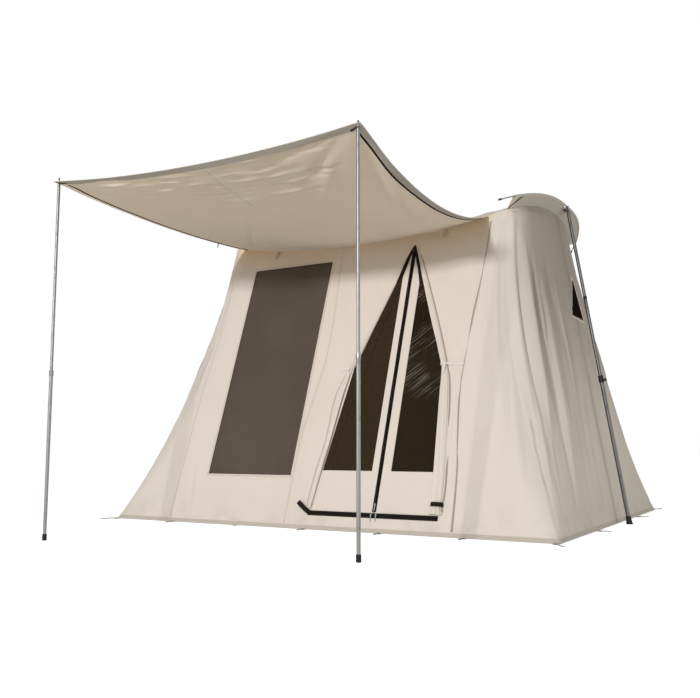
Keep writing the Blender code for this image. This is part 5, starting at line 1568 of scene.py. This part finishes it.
def add_apex_tape(side, word):
    """The flap's own zip tape, black, where it shows beside the apex before the roll covers it."""
    height = np.linspace(DOOR_APEX - 0.004, 1.50 if side > 0 else 1.54, 40)
    share = np.linspace(0, 1, 40)
    width = 0.005 + 0.014 * np.sin(np.pi * share ** 0.8)
    middle = along_route(DOOR_SIDES[side], height) - 0.002 - width / 2 * share
    path = wall_point(DOOR_X + side * middle, height,
                      CANVAS + 0.004 + 0.008 * np.sin(np.pi * share))
    section = slab(1.0, 0.0009) * np.stack([width, np.ones(40)], -1)[:, None]
    add_sweep(f"door_{word}_apex_tape", path, section, "tape", WALL_OUT)


def add_flap_trim(side, word):
    """The tie round a flap, its loose end and its knot, and the black strap at the flap's foot."""
    angle = np.linspace(0, 2 * math.pi, 40)
    cosine, sine = np.cos(angle), np.sin(angle)
    up = np.broadcast_to(WALL_UP, (40, 3))
    outward = unit(side * cosine[:, None] * [1, 0, 0] + WALL_OUT * sine[:, None])
    path = wall_point(DOOR_X + side * (TIE_MIDDLE + 0.0195 * cosine), TIE_HEIGHT + 0.004 * sine,
                      CANVAS + 0.0095 + 0.0078 * sine)
    add_loop(f"door_{word}_tie", path, up, outward, 0.013, 0.0009, "tie")
    for part, stops, count, width in (("tie_end", TIE_END_STOPS, 30, 0.010),
                                      ("tie_knot", TIE_KNOT_STOPS, 24, 0.009)):
        path = off_wall(stops, count, side, DOOR_X)
        add_sweep(f"door_{word}_{part}", path, slab(width, 0.0012), "tie", WALL_OUT)
    if side > 0:
        path = wall_point(DOOR_X + 0.388 + 0.0365 * cosine, np.full(40, 0.166),
                          CANVAS + 0.0125 + 0.0125 * sine)
        add_loop("door_right_flap_band", path, up, outward, 0.024, 0.0011, "black_webbing")
    else:
        add_sweep("door_left_flap_band", off_wall(LEFT_BAND_STOPS, 20), slab(0.028, 0.0012),
                  "black_webbing", WALL_OUT)


def add_hanging_straps():
    """Two pairs of short tie straps that hang from the awning's seam."""
    for name, x in (("left_eave_tie", -0.66), ("right_eave_tie", 0.655)):
        top = float(eave_height(x)) - 0.022
        for k, (dx, drop) in enumerate(((-0.012, 0.060), (0.010, 0.048))):
            stops = [(x, top, 0.003), (x + dx * 0.6, top - drop * 0.35, 0.010),
                     (x + dx, top - drop * 0.7, 0.012), (x + dx * 0.8, top - drop, 0.009)]
            add_sweep(f"{name}_{k + 1}", off_wall(stops, 16), slab(0.009, 0.0009), "webbing",
                      WALL_OUT)


def tab_places():
    """Each tab as (x, y, outward x, outward y) round the tent, and whether the part has its peg."""
    end = HALF_LENGTH - HEM_CORNER_ROOM - TAB_WIDTH / 2
    places = []
    for x in (-end, *(k * TAB_SPACING for k in (-2, -1, 0, 1, 2)), end):
        places.append((x, FRONT_Y, 0, -1, abs(x) == end))
        places.append((x, REAR_Y, 0, 1, abs(x) == end))
    for side in (-1, 1):
        for y in (-END_TAB_Y, END_TAB_Y):
            places.append((side * HALF_LENGTH, MIDDLE_Y + y, side, 0, False))
    return places


def add_hems():
    """The hem webbing along the foot of each wall, with its peg tabs."""
    reach = HALF_LENGTH - HEM_CORNER_ROOM
    x = np.linspace(-reach, reach, 160)[:, None]
    out = CANVAS + GAP + HEM_WEBBING / 2
    front = front_skin(x, HEM_LEVELS, out, hip=FRONT_HIP)
    rear = turn_to_rear(front_skin(x, HEM_LEVELS, out, hip=REAR_HIP))
    reach = DEPTH / 2 - END_HEM_ROOM
    t = np.linspace(-reach, reach, 140)[:, None] / (DEPTH / 2)
    left, right = (end_skin(t, HEM_LEVELS / EAVE_HEIGHT, side, END_HEM_OUT) for side, _ in SIDES)
    for word, grid, away in (("front", front, WALL_OUT), ("rear", rear, REAR_OUT),
                             ("left", left, (-1, 0, 0)), ("right", right, (1, 0, 0))):
        add_sheet(f"{word}_hem_webbing", grid, "webbing", away, HEM_WEBBING,
                  node=f"{word}_hem")
    for k, (x, y, dx, dy, _) in enumerate(tab_places()):
        add_tab(k + 1, np.array([x, y, 0.0]), np.array([dx, dy, 0.0]))


def add_tab(number, foot, way):
    """A webbing tab that lies on the ground from the hem, with a ring."""
    stops = [foot + way * out + [0, 0, height]
             for out, height in ((0.0005, 0.006), (0.006, 0.0022), (0.016, 0.0008),
                                 (TAB_LENGTH, 0.0008))]
    add_sweep(f"hem_tab_{number:02d}", smooth_route(stops, 18), slab(TAB_WIDTH, 0.0013), "webbing")
    add_turned(f"hem_tab_ring_{number:02d}", TAB_RING_PROFILE,
               foot + way * 0.024 + [0, 0, 0.0012], (0, 0, 1), "plated", 20)


def add_pegs():
    """Steel pegs, each of one bent rod, through the tabs that have none in the part. One of the
    front tabs has none in the photograph either."""
    count = 0
    for x, y, dx, dy, in_part in tab_places():
        if in_part or (x == -TAB_SPACING and dy < 0):
            continue
        count += 1
        turn = PEG_TURN * math.sin(3.1 * count)
        way = np.array([dx * math.cos(turn) - dy * math.sin(turn),
                        dx * math.sin(turn) + dy * math.cos(turn), 0])
        cross = np.array([-way[1], way[0], 0])
        shank = (np.array([x, y, PEG_LEVEL]) + np.array([dx, dy, 0]) * PEG_START
                 + way * np.linspace(0, PEG_LENGTH * PEG_SHOWN, 8)[:, None])
        angle = np.linspace(0, math.pi, 10)[1:, None]
        hook = (shank[-1] + way * PEG_HOOK / 2 * np.sin(angle)
                + cross * PEG_HOOK / 2 * (1 - np.cos(angle)))
        add_sweep(f"hem_peg_{count:02d}", np.vstack([shank, hook]), circle(PEG_ROD, 10), "tube")


def add_groundsheet():
    """The groundsheet: flat, with low wrinkles that stay above the ground."""
    x, y = np.meshgrid(np.linspace(-HALF_LENGTH, HALF_LENGTH, 120),
                       np.linspace(FRONT_Y, REAR_Y, 100), indexing="ij")
    grid = np.stack([x, y, GROUND_LEVEL + ripple(x, y, *GROUND_RIPPLE)], -1)
    sheet = add_sheet("groundsheet", grid, "groundsheet", (0, 0, 1), 0.0012, node="floor")
    cut_size(grid)


def add_pole_details():
    """A swaged ring at each end pole's splice, where the photograph shows the pole thicken."""
    for side, word in SIDES:
        foot = np.array([side * (HALF_LENGTH + POLE_FOOT_OUT), MIDDLE_Y, 0])
        axis = unit(bar_point(0.0, side) - foot)
        add_turned(f"{word}_pole_splice_ring", SPLICE_RING_PROFILE, foot + axis * POLE_SPLICE,
                   axis, "plastic")


NODE_FINISHES = {
    # The end poles get a darker copy of the tube finish: painted shade
    "dark_tube": ("end_pole_top_tube", "end_pole_middle_tube", "end_pole_lower_tube"),
    "tube": ("upper_tube", "awning_left_lower_tube", "awning_right_lower_tube", "_peg",
             "lock_collar"),
    "plated": ("saddle", "_slider"),
    "spring": ("spring_bar",),
    "rubber": ("_foot",),
    "plastic": ("end_pole_collar", "knob"),
}


def finish_nodes():
    """Better materials on the metal, plastic and rubber nodes that keep their shape."""
    for node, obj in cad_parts.items():
        for finish, ends in NODE_FINISHES.items():
            if node.endswith(ends):
                for slot in obj.material_slots:
                    slot.material = finish_of(finish)


# Stage

def add_stage():
    """The pale floor, the light and the camera at the photograph's place."""
    settings = bpy.context.scene.tent_stage
    floor = Finish("stage_floor", 0.9)
    floor.set("Base Color", FLOOR_COLOUR)
    glow = floor.socket("ShaderNodeEmission", (), {
        "Color": GLOW_COLOUR, "Strength": floor.seen_directly() * settings.floor_glow})
    both = floor.socket("ShaderNodeAddShader", (), {
        0: Socket(floor, floor.shader.outputs[0]), 1: glow})
    floor.feed(floor.tree.nodes["Material Output"].inputs["Surface"], both)
    corners = np.array([(-1, -1), (1, -1), (1, 1), (-1, 1)]) * FLOOR_REACH
    points = np.column_stack([corners, np.full(4, -FLOOR_DROP)])
    add_mesh("stage_floor", points, np.array([[0, 1, 2, 3]]), floor.material)
    add_world(settings)
    add_lamp("key", settings.key_place, settings.key_size, settings.key_power)
    add_lamp("fill", settings.fill_place, settings.fill_size, settings.fill_power)
    add_camera(settings)
    bpy.context.scene.view_settings.view_transform = "Standard"


def add_world(settings):
    """A white surround for the camera and for reflections, and an even grey-white one as light."""
    world = bpy.data.worlds.new("surround")
    bpy.context.scene.world = world
    world.use_nodes = True
    world.node_tree.nodes.clear()
    nodes = Nodes(world.node_tree)
    light = nodes.socket("ShaderNodeBackground", (), {"Color": SKY_COLOUR,
                                                      "Strength": settings.sky})
    white = nodes.socket("ShaderNodeBackground", (), {"Color": (1, 1, 1, 1), "Strength": 1.0})
    both = nodes.socket("ShaderNodeMixShader", (), {0: nodes.seen_directly(), 1: light, 2: white})
    nodes.node("ShaderNodeOutputWorld", (), {"Surface": both})


def add_lamp(name, place, size, power):
    """A square soft light that looks at the tent's middle."""
    lamp = bpy.data.lights.new(name, "AREA")
    lamp.shape = "SQUARE"
    lamp.size = size
    lamp.energy = power
    obj = bpy.data.objects.new(name, lamp)
    bpy.context.scene.collection.objects.link(obj)
    obj.location = place
    toward = Vector((0.0, MIDDLE_Y, 1.0)) - Vector(place)
    obj.rotation_euler = toward.to_track_quat("-Z", "Y").to_euler()


def add_camera(settings):
    """The camera at the photograph's place, turned by its yaw and pitch."""
    camera = bpy.data.cameras.new("camera")
    camera.lens = settings.lens
    camera.sensor_width = 36.0
    camera.clip_end = 200.0
    obj = bpy.data.objects.new("camera", camera)
    bpy.context.scene.collection.objects.link(obj)
    obj.location = settings.camera_place
    yaw, pitch = settings.camera_yaw, settings.camera_pitch
    look = Vector((-math.sin(yaw) * math.cos(pitch), math.cos(yaw) * math.cos(pitch),
                   math.sin(pitch)))
    obj.rotation_euler = look.to_track_quat("-Z", "Y").to_euler()
    bpy.context.scene.camera = obj


# Settings that a user would change

def number(name, description, default, **more):
    return bpy.props.FloatProperty(name=name, description=description, default=default, **more)


def length(name, description, default):
    return number(name, description, default, unit="LENGTH", precision=4)


def place(name, description, default):
    return bpy.props.FloatVectorProperty(name=name, description=description, default=default,
                                         subtype="TRANSLATION")


def colour(name, description, default):
    return bpy.props.FloatVectorProperty(name=name, description=description, default=default,
                                         subtype="COLOR", size=3, min=0.0, max=1.0)


class TentSizes(bpy.types.PropertyGroup):
    """Sizes of the cloth's detail."""

    fold_depth: number("Fold depth", "Depth of every crease, as a share of the photograph's", 1.0,
                       min=0.0, max=2.0)
    weave_pitch: length("Weave pitch", "Distance between the canvas's threads", 0.0011)
    net_pitch: length("Net pitch", "Distance between the netting's threads", 0.0016)
    seam_width: length("Seam width", "Width of the felled seams", 0.013)
    stitch_length: length("Stitch length", "One stitch with its space", 0.006)


class TentColours(bpy.types.PropertyGroup):
    """Colours of the cloth, netting, zips and metal."""

    canvas: colour("Canvas", "Walls, roof and door", (0.757, 0.692, 0.622))
    # The awning is the walls' canvas made warmer and a little darker: painted light, the warm shade
    # under the cloth
    awning: colour("Awning", "The awning's cloth", (0.745, 0.660, 0.550))
    band: colour("Bands", "The awning's double layers", (0.365, 0.34, 0.305))
    # The fascias are the roof's canvas in a darker grey: painted shade under the bars
    fascia: colour("Fascias", "Sleeves and fascias under the bars", (0.55, 0.52, 0.475))
    window_net: colour("Window net", "The windows' netting", (0.115, 0.092, 0.072))
    # Both door nets are dark, the left one lighter: painted shade and painted light of the inside
    # seen through them
    door_net: colour("Right door net", "Netting of the door's right half", (0.021, 0.0135, 0.0065))
    left_door_net: colour("Left door net", "Netting of the door's left half",
                          (0.037, 0.0245, 0.012))
    blind: colour("Blind", "The cloth behind the front window", (0.060, 0.046, 0.034))
    zip: colour("Zips", "Zip tapes, chains and black straps", (0.012, 0.009, 0.007))
    webbing: colour("Webbing", "Hem bands, tabs and ties", (0.60, 0.545, 0.475))
    tie: colour("Ties", "The ties of the door's flaps", (0.88, 0.86, 0.80))
    groundsheet: colour("Groundsheet", "The floor", (0.10, 0.09, 0.08))
    tube: colour("Tubes", "Galvanised poles and pegs", (0.235, 0.23, 0.22))


class TentStage(bpy.types.PropertyGroup):
    """Floor, light and camera."""

    camera_place: place("Camera place", "Where the camera stands", (2.739, -5.000, 0.495))
    camera_yaw: number("Camera yaw", "Turn to the left of +Y", 0.521, subtype="ANGLE")
    camera_pitch: number("Camera pitch", "Tilt above level", 0.115, subtype="ANGLE")
    lens: number("Lens", "Focal length in millimetres on a 36 mm sensor", 42.9)
    key_place: place("Key place", "Centre of the main light", (0.5, -9.0, 2.9))
    key_size: length("Key size", "Side of the main light", 0.6)
    key_power: number("Key power", "Power of the main light in watts", 410.0)
    fill_place: place("Fill place", "Centre of the fill light", (5.2, 0.6, 0.55))
    fill_size: length("Fill size", "Side of the fill light", 1.6)
    fill_power: number("Fill power", "Power of the fill light in watts", 32.0)
    sky: number("Sky", "Strength of the even light from all round", 0.40)
    floor_glow: number("Floor glow", "What lifts the floor to the white surround", 0.70)


# Operators

class Step:
    """What each operator does: it runs its builders in turn."""

    def execute(self, context):
        for build in self.builders:
            build()
        return {"FINISHED"}


class TENT_OT_stage(Step, bpy.types.Operator):
    """Floor, light and camera"""

    bl_idname = "tent.stage"
    bl_label = "Stage"
    builders = (add_stage,)


class TENT_OT_hardware(Step, bpy.types.Operator):
    """Finishes on the poles, bars, pegs and sliders, and the rings on the end poles"""

    bl_idname = "tent.hardware"
    bl_label = "Hardware"
    builders = (finish_nodes, add_pole_details)


class TENT_OT_walls(Step, bpy.types.Operator):
    """Front and rear walls with their seams"""

    bl_idname = "tent.walls"
    bl_label = "Front and rear walls"
    builders = (add_front_wall, add_front_seams, add_rear_wall, add_rear_seams)


class TENT_OT_end_walls(Step, bpy.types.Operator):
    """Both end walls with their windows"""

    bl_idname = "tent.end_walls"
    bl_label = "End walls"
    builders = (add_end_walls,)


class TENT_OT_roof(Step, bpy.types.Operator):
    """Roof, bar sleeves and bar caps"""

    bl_idname = "tent.roof"
    bl_label = "Roof and sleeves"
    builders = (add_roof, add_sleeves)


class TENT_OT_awning(Step, bpy.types.Operator):
    """Awning with its hems, zips, seam, corners and tie straps"""

    bl_idname = "tent.awning"
    bl_label = "Awning"
    builders = (add_awning, add_hanging_straps)


class TENT_OT_window(Step, bpy.types.Operator):
    """Front window's netting and blind"""

    bl_idname = "tent.window"
    bl_label = "Front window"
    builders = (add_window,)


class TENT_OT_door(Step, bpy.types.Operator):
    """Door halves, netting, zips and the rolled flaps"""

    bl_idname = "tent.door"
    bl_label = "Door"
    builders = (add_door, add_flaps)


class TENT_OT_hems(Step, bpy.types.Operator):
    """Hem webbing, tabs, pegs and the groundsheet"""

    bl_idname = "tent.hems"
    bl_label = "Hems and groundsheet"
    builders = (add_hems, add_pegs, add_groundsheet)


STEPS = (TENT_OT_stage, TENT_OT_hardware, TENT_OT_walls, TENT_OT_end_walls, TENT_OT_roof,
         TENT_OT_awning, TENT_OT_window, TENT_OT_door, TENT_OT_hems)


class TENT_PT_pieces(bpy.types.Panel):
    """The tent's pieces and settings"""

    bl_idname = "TENT_PT_pieces"
    bl_label = "Canvas cabin tent"
    bl_space_type = "VIEW_3D"
    bl_region_type = "UI"
    bl_category = "Tent"

    def draw(self, context):
        for step in STEPS:
            self.layout.operator(step.bl_idname)
        for group in (context.scene.tent_sizes, context.scene.tent_colours,
                      context.scene.tent_stage):
            box = self.layout.box()
            for key in group.__annotations__:
                box.prop(group, key)


CLASSES = (TentSizes, TentColours, TentStage, *STEPS, TENT_PT_pieces)


def register():
    for each in CLASSES:
        bpy.utils.register_class(each)
    bpy.types.Scene.tent_sizes = bpy.props.PointerProperty(type=TentSizes)
    bpy.types.Scene.tent_colours = bpy.props.PointerProperty(type=TentColours)
    bpy.types.Scene.tent_stage = bpy.props.PointerProperty(type=TentStage)


def unregister():
    del bpy.types.Scene.tent_stage
    del bpy.types.Scene.tent_colours
    del bpy.types.Scene.tent_sizes
    for each in reversed(CLASSES):
        bpy.utils.unregister_class(each)


def main():
    register()
    for step in STEPS:
        family, name = step.bl_idname.split(".")
        getattr(getattr(bpy.ops, family), name)()


if __name__ == "__main__":
    main()
